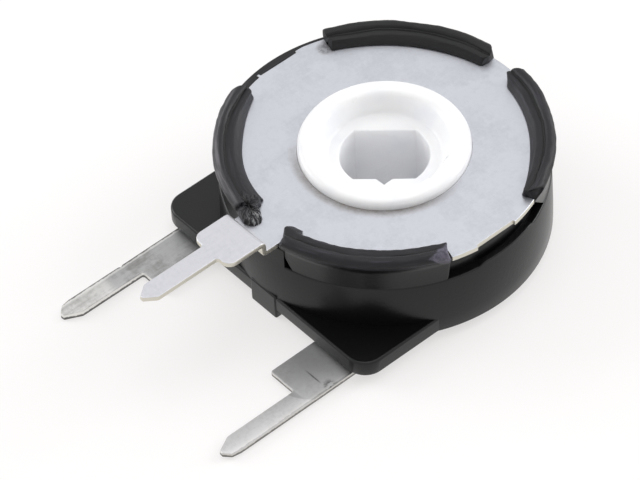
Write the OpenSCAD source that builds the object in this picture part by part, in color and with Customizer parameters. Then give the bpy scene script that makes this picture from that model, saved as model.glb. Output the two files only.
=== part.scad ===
// Single-turn carbon trimmer potentiometer with a crimped metal cover.
// Origin on the rotor axis at the back plane, +Z towards the adjusting side,
// terminals pointing towards -Y. All lengths in millimetres, angles in degrees.

/* [Housing] */
// Outside diameter of the round wall
housing_d = 15; // [14:0.1:17]
// Thickness of the round wall
wall_t = 0.75; // [0.6:0.05:0.9]
// Height of the cavity floor above the back plane
floor_t = 0.9; // [0.75:0.05:1.3]
// Height of the cavity between floor and cover plate
cavity_h = 3.65; // [3.5:0.05:5]
// How far each side of the square foot stands in from the round wall
flange_inset = 0.6; // [0.5:0.05:0.9]
// Thickness of the foot flange
flange_t = 0.85; // [0.6:0.05:1.5]
// Radius of the two front corners of the foot flange
flange_corner_r = 1; // [0.5:0.1:2]
// How far the back plateau is set in from the outline
plateau_inset = 0.6; // [0.3:0.05:0.7]
// Width of the centre nib on the front face
nib_w = 1.8; // [1:0.1:2.2]
// How far the nib stands proud of the front face
nib_proud = 0.05; // [0.02:0.01:0.3]

/* [Crimped rim] */
// Depth of the outside ledge below the cover plate's seat
ledge_drop = 0.95; // [0.5:0.05:1.5]
// Thickness of the skirt that carries each crimp
skirt_t = 0.36; // [0.25:0.01:0.4]
// How far each crimp's lip reaches in from the round wall
lip_reach = 1; // [0.85:0.05:1.3]
// How far the lip's inner face leans back from its foot
lip_lean = 0.3; // [0.1:0.05:0.35]
// Height of the crimps above the cover plate
lip_rise = 0.6; // [0.45:0.05:0.9]
// How far the crimps bulge past the skirt
lip_bulge = 0.2; // [0.05:0.01:0.25]
// Open angle between the two front crimps
front_gap = 21; // [20:0.5:26]
// Open angle between the two rear crimps
rear_gap = 13; // [9:0.5:20]
// Open angle between a front and a rear crimp
side_gap = 38; // [30:0.5:44]
// How far the right-hand front lip runs on over the neck
lip_overrun = 2; // [0:0.5:4]
// Angle past the left-hand front crimp at which its melted end stops
melt_angle = 11.5; // [6:0.5:13]

/* [Cover plate] */
// Thickness of the cover plate's sheet
plate_t = 0.35; // [0.3:0.01:0.45]
// How far the flats of the two side lugs stand in from the round wall
flat_inset = 0.25; // [0.15:0.05:0.4]
// Width of the neck and head of the centre terminal
head_w = 2.45; // [1.6:0.05:2.5]
// How far the neck reaches past the round wall before it bends up
neck_out = 0.5; // [0.2:0.05:0.8]
// Rise of the centre terminal above the cover plate
joggle_rise = 0.6; // [0.4:0.05:0.9]

/* [Terminals] */
// Thickness of the two outer terminals
terminal_t = 0.35; // [0.3:0.01:0.4]
// How far the outer pins' centre lines stand in from the round wall
pin_inset = 2; // [1.8:0.05:2.5]
// Width of each pin
pin_w = 1; // [0.8:0.05:1.1]
// Width of the outer terminals' shoulders
shoulder_w = 2.55; // [2:0.05:2.8]
// Reach of all shoulders past the round wall
shoulder_out = 2.6; // [2:0.1:3.5]
// Length of each pin past its shoulder
pin_len = 4.4; // [3:0.1:6]
// How much sooner the centre pin ends than the outer pins
centre_setback = 0.6; // [0:0.1:1]
// Length of the tapered tip of each pin
tip_len = 0.7; // [0.4:0.05:1]
// Width at the end of each tip
tip_w = 0.45; // [0.3:0.05:0.6]

/* [Resistive element] */
// Thickness of the element board
board_t = 0.7; // [0.6:0.05:0.9]
// Room between the cavity's wall and the carbon track
track_inset = 1.55; // [1.35:0.05:1.75]
// Width of the carbon track
track_w = 1.2; // [0.8:0.05:1.3]
// Thickness of the printed carbon and silver films
film_t = 0.05; // [0.04:0.01:0.08]
// Electrical angle of the carbon track
track_angle = 250; // [230:1:255]
// Diameter of the rivet heads
rivet_head_d = 1.4; // [1.1:0.05:1.5]
// Diameter of the rivet shanks
rivet_d = 0.7; // [0.5:0.05:0.8]
// Height of the rivet heads
rivet_head_h = 0.18; // [0.1:0.01:0.25]

/* [Rotor] */
// Diameter of the boss that shows through the cover plate
boss_d = 7.76; // [7.2:0.02:8.4]
// Height of the boss above the cover plate
boss_rise = 0.4; // [0.25:0.05:0.7]
// Radius on the boss's top edge
boss_round = 0.25; // [0.1:0.05:0.35]
// Diameter of the dished recess at the top
recess_d = 6.1; // [5.7:0.1:6.6]
// Diameter of the recess's floor
recess_floor_d = 5.2; // [4.6:0.1:5.6]
// Depth of the recess
recess_depth = 0.9; // [0.5:0.05:1.2]
// Diameter of the adjusting hole
hole_d = 4.08; // [3.6:0.02:4.4]
// Distance across the adjusting hole's two flats
hole_flats = 3; // [2.6:0.05:3.3]
// Depth of the pointer notch in one flat
notch_depth = 0.36; // [0.2:0.02:0.5]
// Width of the pointer notch
notch_w = 0.95; // [0.6:0.05:1.2]
// Room between the cavity's wall and the carrier disc, taken up by the stops
carrier_inset = 1.15; // [0.95:0.05:1.35]
// Thickness of the carrier disc
carrier_t = 1.3; // [1:0.05:1.5]
// Diameter of the bearing spigot
spigot_d = 5.5; // [5:0.05:6]
// Mechanical angle of rotation between the stops
travel = 265; // [255:1:275]
// Width of the carrier's stop lug
lug_angle = 25; // [22:1:34]

/* [Wiper] */
// Width of the wiper's sprung strip
wiper_w = 1.6; // [1:0.05:1.8]
// Thickness of the wiper's strip
wiper_t = 0.15; // [0.1:0.01:0.18]

/* [Clearances] */
// Radial running clearance of the rotor in its bearing and cover
running_gap = 0.08; // [0.05:0.01:0.1]
// Radial and side clearance of pieces inside the cavity
inner_gap = 0.15; // [0.1:0.01:0.2]
// Clearance of a sheet edge in its slot or seat
seat_gap = 0.04; // [0.02:0.01:0.06]
// Air gap between an outer terminal and the foot flange above it
exit_gap = 0.13; // [0.08:0.01:0.2]
// Height of a sliding contact above the surface that it runs on
contact_gap = 0.02; // [0.01:0.005:0.03]

/* [Hidden] */
$fn = 96;
eps = 0.01;
// Depth by which joined shapes run into each other
weld = 0.1;
// Direction in which the terminals point, and the rear, right and left directions
front = -90;
rear = 90;
right = 0;
left = 180;

// Housing levels and radii
housing_r = housing_d / 2;
cavity_r = housing_r - wall_t;
foot_h = terminal_t + exit_gap;
flange_w = housing_d - 2 * flange_inset;
seat_z = floor_t + cavity_h;
plate_top = seat_z + plate_t;
ledge_z = seat_z - ledge_drop;
flange_top = foot_h + flange_t;
// Height of the nib above the foot flange
nib_rise = 0.07;
nib_top = flange_top + nib_rise;
// How far the square foot's front stands in front of the round wall
foot_proud = 0.05;

// Crimped rim
// How far the skirts stand in from the round wall
skirt_inset = 0.08;
skirt_out = housing_r - skirt_inset;
skirt_in = skirt_out - skirt_t;
block_in = (cavity_r + skirt_in) / 2;
lip_tip = housing_r - lip_reach;
lip_top = plate_top + lip_rise;
groove_depth = lip_rise / 4;
inner_bead_r = lip_rise / 4;
inner_bead_x = lip_tip + lip_lean + inner_bead_r;
// Height above the cover plate of the lip ends that run over the neck
lip_end_h = 0.34;

// Cover plate
plate_r = skirt_in - seat_gap;
plate_flats = housing_d - 2 * flat_inset;
// How far the lugs stop short of the round wall
lug_inset = 0.1;
lug_r = housing_r - lug_inset;
plate_hole_r = boss_d / 2 + running_gap;
rim_z = plate_top - seat_gap;
neck_end = -(housing_r + neck_out);
joggle_top = plate_top + joggle_rise;
head_end = -(housing_r + shoulder_out);
head_corner_r = 0.35;
bend_r = 0.12;
// Flat run of the raised neck behind its head
neck_run = 0.3;

// Outer terminals
pin_x = housing_r - pin_inset;
pin_outer_x = pin_x + pin_w / 2;
pin_inner_x = pin_outer_x - pin_w;
shoulder_inner_x = pin_outer_x - shoulder_w;
tongue_w = pin_inner_x - shoulder_inner_x;
// How far the tongues start inside the round wall
tongue_inset = 1.2;
tongue_start = -(housing_r - tongue_inset);

// Resistive element
board_top = floor_t + board_t;
film_top = board_top + film_t;
track_r = cavity_r - track_inset - track_w / 2;
rivet_r = cavity_r - inner_gap - rivet_head_d / 2 - 0.1;
rivet_x = shoulder_inner_x + tongue_w / 2;
rivet_y = -sqrt(rivet_r * rivet_r - rivet_x * rivet_x);
rivet_angle = atan2(rivet_y, rivet_x);
countersink_r = rivet_d / 2 + 0.2;
countersink_h = 0.15;

// Rotor
carrier_r = cavity_r - carrier_inset;
// Room for the wiper between the carrier and the cover plate
carrier_drop = 0.85;
carrier_top = seat_z - carrier_drop;
carrier_z = carrier_top - carrier_t;
spigot_r = spigot_d / 2;
spigot_z = 0.06;
boss_r = boss_d / 2;
boss_top = plate_top + boss_rise;
recess_z = boss_top - recess_depth;
stop_in = carrier_r + inner_gap;
lug_out = cavity_r - inner_gap;
dead_half = (360 - travel) / 2;
// Angle left between the stop lug and the housing's stop at either end
stop_clear = 0.3;
stop_half = dead_half - lug_angle / 2 - stop_clear;
rotor_rest = front + dead_half;

// Wiper window in the carrier
// Wall left between the recess and the window
window_wall = 0.55;
window_in = recess_d / 2 + window_wall;
window_w = wiper_w + 2 * inner_gap;

// Points of an arc from angle a to angle b about [x, y]
function arc(x, y, r, a, b, n = 6) =
    [for (i = [0:n]) let (t = a + (b - a) * i / n) [x + r * cos(t), y + r * sin(t)]];

// Closed outline of a strip of thickness t along a path
function unit(v) = v / norm(v);
function along(p, i) = unit(p[min(i + 1, len(p) - 1)] - p[max(i - 1, 0)]);
function side(p, t) = [for (i = [0:len(p) - 1]) let (d = along(p, i)) p[i] + [-d[1], d[0]] * t / 2];
function reversed(p) = [for (i = [len(p) - 1:-1:0]) p[i]];
function ribbon(p, t) = concat(side(p, t), reversed(side(p, -t)));

// A revolved block between two radii, two levels and two angles
module arc_block(r_in, r_out, z_low, z_high, centre, half) {
    rotate([0, 0, centre - half])
        rotate_extrude(angle = 2 * half)
            translate([r_in, z_low]) square([r_out - r_in, z_high - z_low]);
}

// A flat sector of a disc
module sector(r, centre, half) {
    reach = 2 * r;
    intersection() {
        circle(r = r);
        polygon([[0, 0],
                 [reach * cos(centre - half), reach * sin(centre - half)],
                 [reach * cos(centre), reach * sin(centre)],
                 [reach * cos(centre + half), reach * sin(centre + half)]]);
    }
}

// Outline of the square foot, which runs back into the round wall
module foot_outline(inset = 0) {
    half_w = flange_w / 2 - inset;
    wall_r = housing_r - inset;
    corner_r = max(flange_corner_r - inset, 0.2);
    front_y = -(wall_r + foot_proud);
    rear_y = 0.4 - sqrt(wall_r * wall_r - half_w * half_w);
    translate([-half_w, front_y + corner_r]) square([2 * half_w, rear_y - front_y - corner_r]);
    translate([-half_w + corner_r, front_y]) square([2 * (half_w - corner_r), corner_r + eps]);
    for (side = [-1, 1])
        translate([side * (half_w - corner_r), front_y + corner_r]) circle(r = corner_r, $fn = 48);
}

// Outline of the tapered end of a pin that is centred on x and ends at y
module pin_outline(x, y_start, y_end) {
    polygon([[x - pin_w / 2, y_start], [x - pin_w / 2, y_end + tip_len], [x - tip_w / 2, y_end],
             [x + tip_w / 2, y_end], [x + pin_w / 2, y_end + tip_len], [x + pin_w / 2, y_start]]);
}

// Outline of the right-hand terminal, grown by a clearance
module terminal_outline(grow = 0) {
    tongue_half = tongue_w / 2 + grow;
    translate([shoulder_inner_x - grow, head_end])
        square([shoulder_w + 2 * grow, tongue_start + grow - head_end]);
    translate([rivet_x - tongue_half, tongue_start - eps])
        square([2 * tongue_half, rivet_y - tongue_start + eps]);
    translate([rivet_x, rivet_y]) circle(r = tongue_half, $fn = 48);
}

// Section through one crimp, from its skirt over the bead to the lip
module crimp_section() {
    bead_r = lip_rise / 2 - 0.02;
    bead_x = skirt_out + lip_bulge - bead_r;
    bead_z = lip_top - bead_r;
    inner_z = plate_top + lip_rise / 2;
    polygon(concat(
        [[skirt_in, ledge_z - weld], [skirt_out, ledge_z - weld], [skirt_out, plate_top - 0.2]],
        arc(bead_x, bead_z, bead_r, -20, 115, 8),
        [[(bead_x + inner_bead_x) / 2 - bead_r / 3, lip_top - groove_depth - 0.08]],
        arc(inner_bead_x, inner_z, inner_bead_r, 80, 135, 4),
        [[lip_tip, plate_top], [skirt_in, plate_top]]));
}

module crimp(start, end) {
    rotate([0, 0, start]) rotate_extrude(angle = end - start) crimp_section();
}

// End of a lip that runs on over the neck, from inside its crimp at start
module lip_end(start, inner_stop, outer_stop, inner_r) {
    outer_r = skirt_out - weld;
    points = [[inner_r, start], [inner_r, inner_stop], [outer_r, outer_stop], [outer_r, start]];
    translate([0, 0, plate_top + seat_gap]) linear_extrude(lip_end_h)
        polygon([for (p = points) [p[0] * cos(p[1]), p[0] * sin(p[1])]]);
}

// Outline of the cover plate's disc and its lugs between the crimps
module plate_disc(grow = 0) {
    lug_trim = 0.6;
    circle(r = plate_r + grow);
    intersection() {
        union() {
            sector(lug_r + grow, rear, rear_gap / 2 - lug_trim);
            sector(lug_r + grow, right, side_gap / 2 - lug_trim);
            sector(lug_r + grow, left, side_gap / 2 - lug_trim);
        }
        square([plate_flats + 2 * grow, housing_d + 2], center = true);
    }
}

// Round wall, foot and plate seat, still solid inside
module housing_blank() {
    cylinder(r = housing_r - plateau_inset, h = foot_h + weld);
    linear_extrude(foot_h + weld) foot_outline(plateau_inset);
    translate([0, 0, foot_h]) linear_extrude(flange_t) foot_outline();
    translate([0, 0, foot_h]) cylinder(r = housing_r, h = ledge_z - foot_h);
    translate([0, 0, ledge_z - weld]) cylinder(r = skirt_in + seat_gap, h = seat_z - ledge_z + weld);
    arc_block(block_in, housing_r, ledge_z - weld, seat_z, front, front_gap / 2 - 1);
    arc_block(block_in, housing_r, ledge_z - weld, seat_z, rear, rear_gap / 2 + 0.1);
    translate([-nib_w / 2, -housing_r - foot_proud - nib_proud, 0])
        cube([nib_w, plateau_inset + nib_proud + 2 * weld, nib_top]);
}

// Low rim that closes the wall outside the cover plate's left lug
module left_rim() {
    difference() {
        arc_block(block_in, housing_r, ledge_z - weld, rim_z, left, side_gap / 2 + 0.1);
        translate([0, 0, seat_z]) linear_extrude(plate_t) plate_disc(seat_gap);
    }
}

module housing() {
    right_end = front + front_gap / 2;
    left_end = front - front_gap / 2;
    crimp_spans = [[right_end, right - side_gap / 2],
                   [right + side_gap / 2, rear - rear_gap / 2],
                   [rear + rear_gap / 2, left - side_gap / 2],
                   [left + side_gap / 2, 360 + left_end]];
    color("#1c1c1f") difference() {
        union() {
            difference() {
                housing_blank();
                translate([0, 0, floor_t]) cylinder(r = cavity_r, h = cavity_h + 1);
            }
            left_rim();
            for (span = crimp_spans) crimp(span[0], span[1]);
            lip_end(right_end + 1, right_end - lip_overrun, right_end - lip_overrun,
                    lip_tip + lip_lean + weld);
            lip_end(left_end - 1, left_end + melt_angle / 3, left_end + melt_angle,
                    lip_tip + weld);
            arc_block(stop_in, cavity_r + weld, floor_t - weld, carrier_top + inner_gap,
                      front, stop_half);
        }
        translate([0, 0, -eps]) cylinder(r = spigot_r + running_gap, h = floor_t + 2 * eps);
        for (side = [0, 1]) mirror([side, 0, 0]) {
            translate([0, 0, -eps]) linear_extrude(terminal_t + seat_gap + eps)
                terminal_outline(seat_gap);
            translate([rivet_x, rivet_y, 0]) cylinder(d = rivet_d, h = floor_t + eps, $fn = 32);
        }
    }
}

// Phenolic board, notched round the housing's stop
module element_board() {
    notch_half = stop_half + 2;
    color("#8a5a2c") translate([0, 0, floor_t])
        difference() {
            cylinder(r = cavity_r - seat_gap, h = board_t);
            translate([0, 0, -eps]) cylinder(r = spigot_r + inner_gap, h = board_t + 2 * eps);
            arc_block(stop_in - inner_gap, cavity_r + 1, -eps, board_t + eps, front, notch_half);
            for (side = [-1, 1])
                translate([side * rivet_x, rivet_y, -eps])
                    cylinder(d = rivet_d, h = board_t + 2 * eps, $fn = 32);
        }
}

// Horseshoe of printed carbon
module carbon_track() {
    color("#242426")
        arc_block(track_r - track_w / 2, track_r + track_w / 2, board_top, film_top,
                  rear, track_angle / 2);
}

// Printed silver land that joins one track end to its rivet
module right_end_pad() {
    track_end = rear - track_angle / 2;
    pad_half = (track_end - rivet_angle) / 2 + 3;
    color("#b9bcc2") translate([0, 0, board_top])
        linear_extrude(film_t) difference() {
            union() {
                intersection() {
                    sector(track_r + track_w / 2, track_end - pad_half, pad_half);
                    circle(r = track_r + track_w / 2);
                }
                translate([rivet_x, rivet_y]) circle(d = rivet_head_d + 0.1, $fn = 48);
            }
            circle(r = track_r - track_w / 2);
            translate([rivet_x, rivet_y]) circle(d = rivet_d, $fn = 32);
        }
}

module left_end_pad() {
    mirror([1, 0, 0]) right_end_pad();
}

// Rivet from its head on the film down to its countersunk tail
module right_rivet() {
    color("#b4b7bd") translate([rivet_x, rivet_y, 0]) {
        cylinder(d = rivet_d, h = film_top + eps, $fn = 32);
        translate([0, 0, film_top]) cylinder(d = rivet_head_d, h = rivet_head_h, $fn = 32);
        cylinder(r1 = countersink_r, r2 = rivet_d / 2, h = countersink_h, $fn = 32);
    }
}

module left_rivet() {
    mirror([1, 0, 0]) right_rivet();
}

// Flat tinned terminal with a shouldered pin
module right_terminal() {
    color("#c6c8cd") difference() {
        linear_extrude(terminal_t) {
            terminal_outline();
            pin_outline(pin_x, head_end + eps, head_end - pin_len);
        }
        translate([rivet_x, rivet_y, -eps]) cylinder(d = rivet_d, h = terminal_t + 2 * eps, $fn = 32);
        translate([rivet_x, rivet_y, 0])
            cylinder(r1 = countersink_r, r2 = rivet_d / 2, h = countersink_h, $fn = 32);
    }
}

module left_terminal() {
    mirror([1, 0, 0]) right_terminal();
}

// Adjusting hole with two flats and a pointer notch towards +X
module adjusting_hole() {
    intersection() {
        circle(d = hole_d);
        square([hole_flats, hole_d], center = true);
    }
    polygon([[hole_flats / 2 - eps, -notch_w / 2], [hole_flats / 2 + notch_depth, 0],
             [hole_flats / 2 - eps, notch_w / 2]]);
}

// Half section of the rotor from its spigot up to the rounded boss
module rotor_section() {
    polygon(concat(
        [[0, spigot_z], [spigot_r, spigot_z], [spigot_r, carrier_z], [carrier_r, carrier_z],
         [carrier_r, carrier_top], [boss_r, carrier_top]],
        arc(boss_r - boss_round, boss_top - boss_round, boss_round, 0, 90),
        arc(recess_d / 2 + 0.15, boss_top - 0.15, 0.15, 90, 180, 4),
        [[recess_floor_d / 2, recess_z], [0, recess_z]]));
}

module rotor() {
    color("#f3f4f9") rotate([0, 0, rotor_rest])
        difference() {
            union() {
                rotate_extrude() rotor_section();
                arc_block(carrier_r - 0.6, lug_out, carrier_z, carrier_top, 0, lug_angle / 2);
            }
            translate([0, 0, -eps]) linear_extrude(boss_top + 1) adjusting_hole();
            translate([window_in, -window_w / 2, carrier_z - 1])
                cube([stop_in - window_in, window_w, carrier_t + 1 + (seat_z - carrier_top) / 2]);
        }
}

// Sprung strip that bridges the track and the underside of the cover plate
module wiper() {
    back_r = stop_in - wiper_t;
    top_r = (boss_r + back_r) / 2;
    low = film_top + contact_gap + wiper_t / 2;
    high = seat_z - contact_gap - wiper_t / 2;
    lift = 0.25;
    heel = 0.35;
    mid_low = carrier_z + 0.15;
    mid_high = carrier_top - 0.15;
    path = [[track_r - heel, low + lift], [track_r - heel / 3, low], [track_r + heel / 3, low],
            [back_r - heel / 2, mid_low - 0.1], [back_r, mid_low + 0.1],
            [back_r, mid_high - 0.1], [back_r - heel / 2, mid_high + 0.1],
            [top_r + heel / 3, high], [top_r - heel / 3, high], [top_r - heel, high - lift]];
    color("#c9b070") rotate([0, 0, rotor_rest])
        translate([0, wiper_w / 2, 0]) rotate([90, 0, 0])
            linear_extrude(wiper_w) polygon(ribbon(path, wiper_t));
}

// Side view of the joggle that lifts the centre terminal off the plate
module joggle_section() {
    riser = neck_end;
    polygon(concat(
        [[-cavity_r, seat_z], [-cavity_r, plate_top]],
        arc(riser + bend_r, plate_top + bend_r, bend_r, 270, 180, 3),
        arc(riser - plate_t / 2, joggle_top - plate_t / 2, plate_t / 2, 0, 90, 4),
        [[riser - plate_t - neck_run, joggle_top], [riser - plate_t - neck_run, joggle_top - plate_t]],
        [[riser - plate_t, joggle_top - plate_t]],
        arc(riser - plate_t / 2, seat_z + plate_t / 2, plate_t / 2, 180, 270, 4)));
}

// Stamped cover plate with its raised centre terminal
module cover_plate() {
    head_start = neck_end - plate_t - neck_run + eps;
    half = head_w / 2;
    color("#cfd2d9") {
        translate([0, 0, seat_z]) linear_extrude(plate_t)
            difference() {
                union() {
                    plate_disc();
                    translate([-half, -cavity_r - eps]) square([head_w, cavity_r / 2]);
                }
                circle(r = plate_hole_r);
            }
        translate([-half, 0, 0]) rotate([90, 0, 90]) linear_extrude(head_w) joggle_section();
        translate([0, 0, joggle_top - plate_t]) linear_extrude(plate_t) {
            translate([-half, head_end + head_corner_r])
                square([head_w, head_start - head_end - head_corner_r]);
            translate([-half + head_corner_r, head_end])
                square([head_w - 2 * head_corner_r, head_corner_r + eps]);
            for (side = [-1, 1])
                translate([side * (half - head_corner_r), head_end + head_corner_r])
                    circle(r = head_corner_r, $fn = 32);
            pin_outline(0, head_end + eps, head_end - pin_len + centre_setback);
        }
    }
}

housing();
element_board();
carbon_track();
left_end_pad();
right_end_pad();
left_terminal();
right_terminal();
left_rivet();
right_rivet();
rotor();
wiper();
cover_plate();
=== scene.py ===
"""Looks of a flat single-turn carbon trimmer potentiometer.

Every visible piece is built here in millimetres, in the same frame as its solids,
and rides on the body that carries it. The pieces inside keep their solids and get
their own finishes.
"""

from __future__ import annotations

import logging
import math
from dataclasses import dataclass
from enum import Enum
from typing import Callable, Sequence

import bmesh
import bpy
from mathutils import Matrix, Vector, noise

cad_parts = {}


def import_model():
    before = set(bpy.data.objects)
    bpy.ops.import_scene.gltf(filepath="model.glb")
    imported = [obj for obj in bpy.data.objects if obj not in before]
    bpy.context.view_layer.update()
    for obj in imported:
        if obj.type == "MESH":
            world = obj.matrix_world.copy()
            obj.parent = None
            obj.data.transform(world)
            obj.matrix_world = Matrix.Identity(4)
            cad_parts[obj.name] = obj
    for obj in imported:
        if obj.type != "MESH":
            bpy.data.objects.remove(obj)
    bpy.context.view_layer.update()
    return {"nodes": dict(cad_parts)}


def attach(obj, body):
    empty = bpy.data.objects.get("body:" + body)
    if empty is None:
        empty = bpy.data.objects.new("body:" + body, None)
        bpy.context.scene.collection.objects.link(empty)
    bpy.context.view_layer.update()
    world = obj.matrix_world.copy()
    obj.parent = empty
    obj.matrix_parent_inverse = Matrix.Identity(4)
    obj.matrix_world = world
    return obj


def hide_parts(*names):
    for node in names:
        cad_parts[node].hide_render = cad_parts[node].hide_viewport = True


MM = 0.001
NUDGE = 0.05  # degrees to each side of a sudden step in a turned outline
LOG = logging.getLogger("trimmer")

Point = tuple[float, float]
Triple = tuple[float, float, float]
Colour = tuple[float, float, float]


class Heading(Enum):
    """Directions round the rotor axis, in degrees from +X."""

    RIGHT = 0.0
    REAR = 90.0
    LEFT = 180.0
    FRONT = 270.0


class Side(Enum):
    """The two mirrored sides of the part."""

    LEFT = -1
    RIGHT = 1


def linear(red: int, green: int, blue: int) -> Colour:
    """Turns a colour as seen on a screen, from 0 to 255, into linear values from 0 to 1."""
    parts = (channel / 255 for channel in (red, green, blue))
    return tuple(p / 12.92 if p <= 0.04045 else ((p + 0.055) / 1.055) ** 2.4 for p in parts)


# ---------------------------------------------------------------- shader maths


class Value:
    """A socket that takes part in arithmetic, adding Math nodes as it goes."""

    def __init__(self, graph: Graph, socket: bpy.types.NodeSocket | None) -> None:
        """Keeps the graph and the output socket that holds this value."""
        self.graph = graph
        self.socket = socket

    def _maths(self, operation: str, first: Value | float, second: Value | float) -> Value:
        """Adds one Math node and returns its result."""
        return self.graph.add("ShaderNodeMath", {"operation": operation}, {0: first, 1: second})

    def __add__(self, other: Value | float) -> Value:
        """Returns self + other."""
        return self._maths("ADD", self, other)

    __radd__ = __add__

    def __sub__(self, other: Value | float) -> Value:
        """Returns self - other."""
        return self._maths("SUBTRACT", self, other)

    def __rsub__(self, other: Value | float) -> Value:
        """Returns other - self."""
        return self._maths("SUBTRACT", other, self)

    def __mul__(self, other: Value | float) -> Value:
        """Returns self * other."""
        return self._maths("MULTIPLY", self, other)

    __rmul__ = __mul__

    def highest(self, other: Value | float) -> Value:
        """Returns the greater of self and other."""
        return self._maths("MAXIMUM", self, other)

    def size(self) -> Value:
        """Returns self without its sign."""
        return self._maths("ABSOLUTE", self, 0.0)

    def turn_from(self, other: Value) -> Value:
        """Returns the angle in radians whose tangent is self / other."""
        return self._maths("ARCTAN2", self, other)

    def step(self, low: float, high: float) -> Value:
        """Returns a mask that rises smoothly from 0 at one level to 1 at another."""
        settings = {"interpolation_type": "SMOOTHSTEP", "clamp": True}
        return self.graph.add("ShaderNodeMapRange", settings, {0: self, 1: low, 2: high, 3: 0.0, 4: 1.0})


class Graph:
    """Node tree of one material or world."""

    def __init__(self, owner: bpy.types.ID) -> None:
        """Clears the owner's nodes and keeps its tree.

        Args:
            owner: The material or world.
        """
        owner.use_nodes = True
        self.tree = owner.node_tree
        self.tree.nodes.clear()

    def add(self, kind: str, settings: dict[str, object] | None = None,
            inputs: dict[str | int, object] | None = None, output: str | int = 0) -> Value:
        """Adds any node.

        Args:
            kind: The node's type.
            settings: Its properties, set before the sockets.
            inputs: Socket name or number to a value, a number or a tuple.
            output: Which output to return.

        Returns:
            The chosen output.
        """
        node = self.tree.nodes.new(kind)
        for name, setting in (settings or {}).items():
            setattr(node, name, setting)
        for key, given in (inputs or {}).items():
            socket = node.inputs[key]
            if isinstance(given, Value):
                self.tree.links.new(given.socket, socket)
            else:
                socket.default_value = given
        return Value(self, node.outputs[output] if len(node.outputs) else None)

    def vector(self, operation: str, place: Value, other: Value | Triple = (0.0, 0.0, 0.0),
               output: int = 0) -> Value:
        """Adds one Vector Math node on a point and another, and returns one of its results."""
        return self.add("ShaderNodeVectorMath", {"operation": operation}, {0: place, 1: other}, output)

    def shifted(self, place: Value, origin: Triple) -> Value:
        """Returns a point as seen from another origin."""
        return self.vector("SUBTRACT", place, origin)

    def stretched(self, place: Value, factors: Triple) -> Value:
        """Returns a point with each axis scaled by its own factor."""
        return self.vector("MULTIPLY", place, factors)

    def distance(self, place: Value, centre: Triple) -> Value:
        """Returns how far a point is from a centre."""
        return self.vector("DISTANCE", place, centre, 1)

    def place(self) -> Value:
        """Returns the point on the surface, in millimetres in the part's frame."""
        here = self.add("ShaderNodeTexCoord", output="Object")
        return self.add("ShaderNodeVectorMath", {"operation": "SCALE"}, {0: here, "Scale": 1 / MM})

    def axes(self, place: Value) -> tuple[Value, Value, Value]:
        """Splits a point into its x, y and z."""
        node = self.add("ShaderNodeSeparateXYZ", inputs={0: place}).socket.node
        return tuple(Value(self, output) for output in node.outputs)

    def polar(self, place: Value, shares: Triple = (1.0, 1.0, 1.0)) -> Value:
        """Turns a point into radius, angle and height, so that noise runs round the axis.

        Args:
            place: The point.
            shares: Factor of each of the three.

        Returns:
            The new point.
        """
        x, y, z = self.axes(place)
        radius = self.vector("LENGTH", self.stretched(place, (1.0, 1.0, 0.0)), output=1)
        parts = (radius * shares[0], y.turn_from(x) * shares[1], z * shares[2])
        return self.add("ShaderNodeCombineXYZ", inputs=dict(enumerate(parts)))

    def facing_side(self) -> Value:
        """Masks the faces that stand upright, such as the cut edges of a flat sheet."""
        facing = self.add("ShaderNodeTexCoord", output="Normal")
        return 1 - self.axes(facing)[2].size().step(0.35, 0.85)

    def grain(self, place: Value, scale: float, detail: float = 3.0, rough: float = 0.5) -> Value:
        """Adds a noise from 0 to 1 with so many features per millimetre."""
        inputs = {"Vector": place, "Scale": scale, "Detail": detail, "Roughness": rough}
        return self.add("ShaderNodeTexNoise", inputs=inputs)

    def warped(self, place: Value, scale: float, by: float) -> Value:
        """Shifts a point by a noise, so that what it samples wanders.

        Args:
            place: The point.
            scale: Wanderings per millimetre.
            by: How far, in millimetres.

        Returns:
            The shifted point.
        """
        inputs = {"Vector": place, "Scale": scale, "Detail": 2.0}
        wander = self.add("ShaderNodeTexNoise", inputs=inputs, output=1)
        away = self.stretched(self.shifted(wander, (0.5, 0.5, 0.5)), (by, by, by))
        return self.vector("ADD", place, away)

    def spot(self, place: Value, centre: Triple, radius: float) -> Value:
        """Masks a soft ball, 1 at its centre and 0 from its radius outwards."""
        return 1 - self.distance(place, centre).step(radius * 0.35, radius)

    def blend(self, mask: Value, first: Value | Colour, second: Value | Colour) -> Value:
        """Mixes two colours: where the mask is 0 the first shows, and where it is 1 the second."""
        pair = [(*c, 1.0) if isinstance(c, tuple) else c for c in (first, second)]
        return self.add("ShaderNodeMix", {"data_type": "RGBA"}, {0: mask, 6: pair[0], 7: pair[1]}, 2)

    def layered(self, tone: Value | Colour, *layers: tuple[Value, Value | Colour]) -> Value:
        """Lays colours over a tone.

        Args:
            tone: The lowest colour.
            *layers: Mask and colour of each layer, the lowest first.

        Returns:
            The colour that shows.
        """
        for mask, colour in layers:
            tone = self.blend(mask, tone, colour)
        return tone

    def looked_at(self, shares: Triple) -> Value:
        """Masks the rays by which a surface is seen, as against those by which it lights the part.

        Args:
            shares: Share for rays from the camera, off a shiny piece and through a clear one.

        Returns:
            The mask, 0 for every other ray.
        """
        rays = self.add("ShaderNodeLightPath").socket.node
        names = ("Is Camera Ray", "Is Glossy Ray", "Is Transmission Ray")
        seen, shiny, through = (Value(self, rays.outputs[n]) * share for n, share in zip(names, shares))
        return seen.highest(shiny).highest(through)

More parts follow.
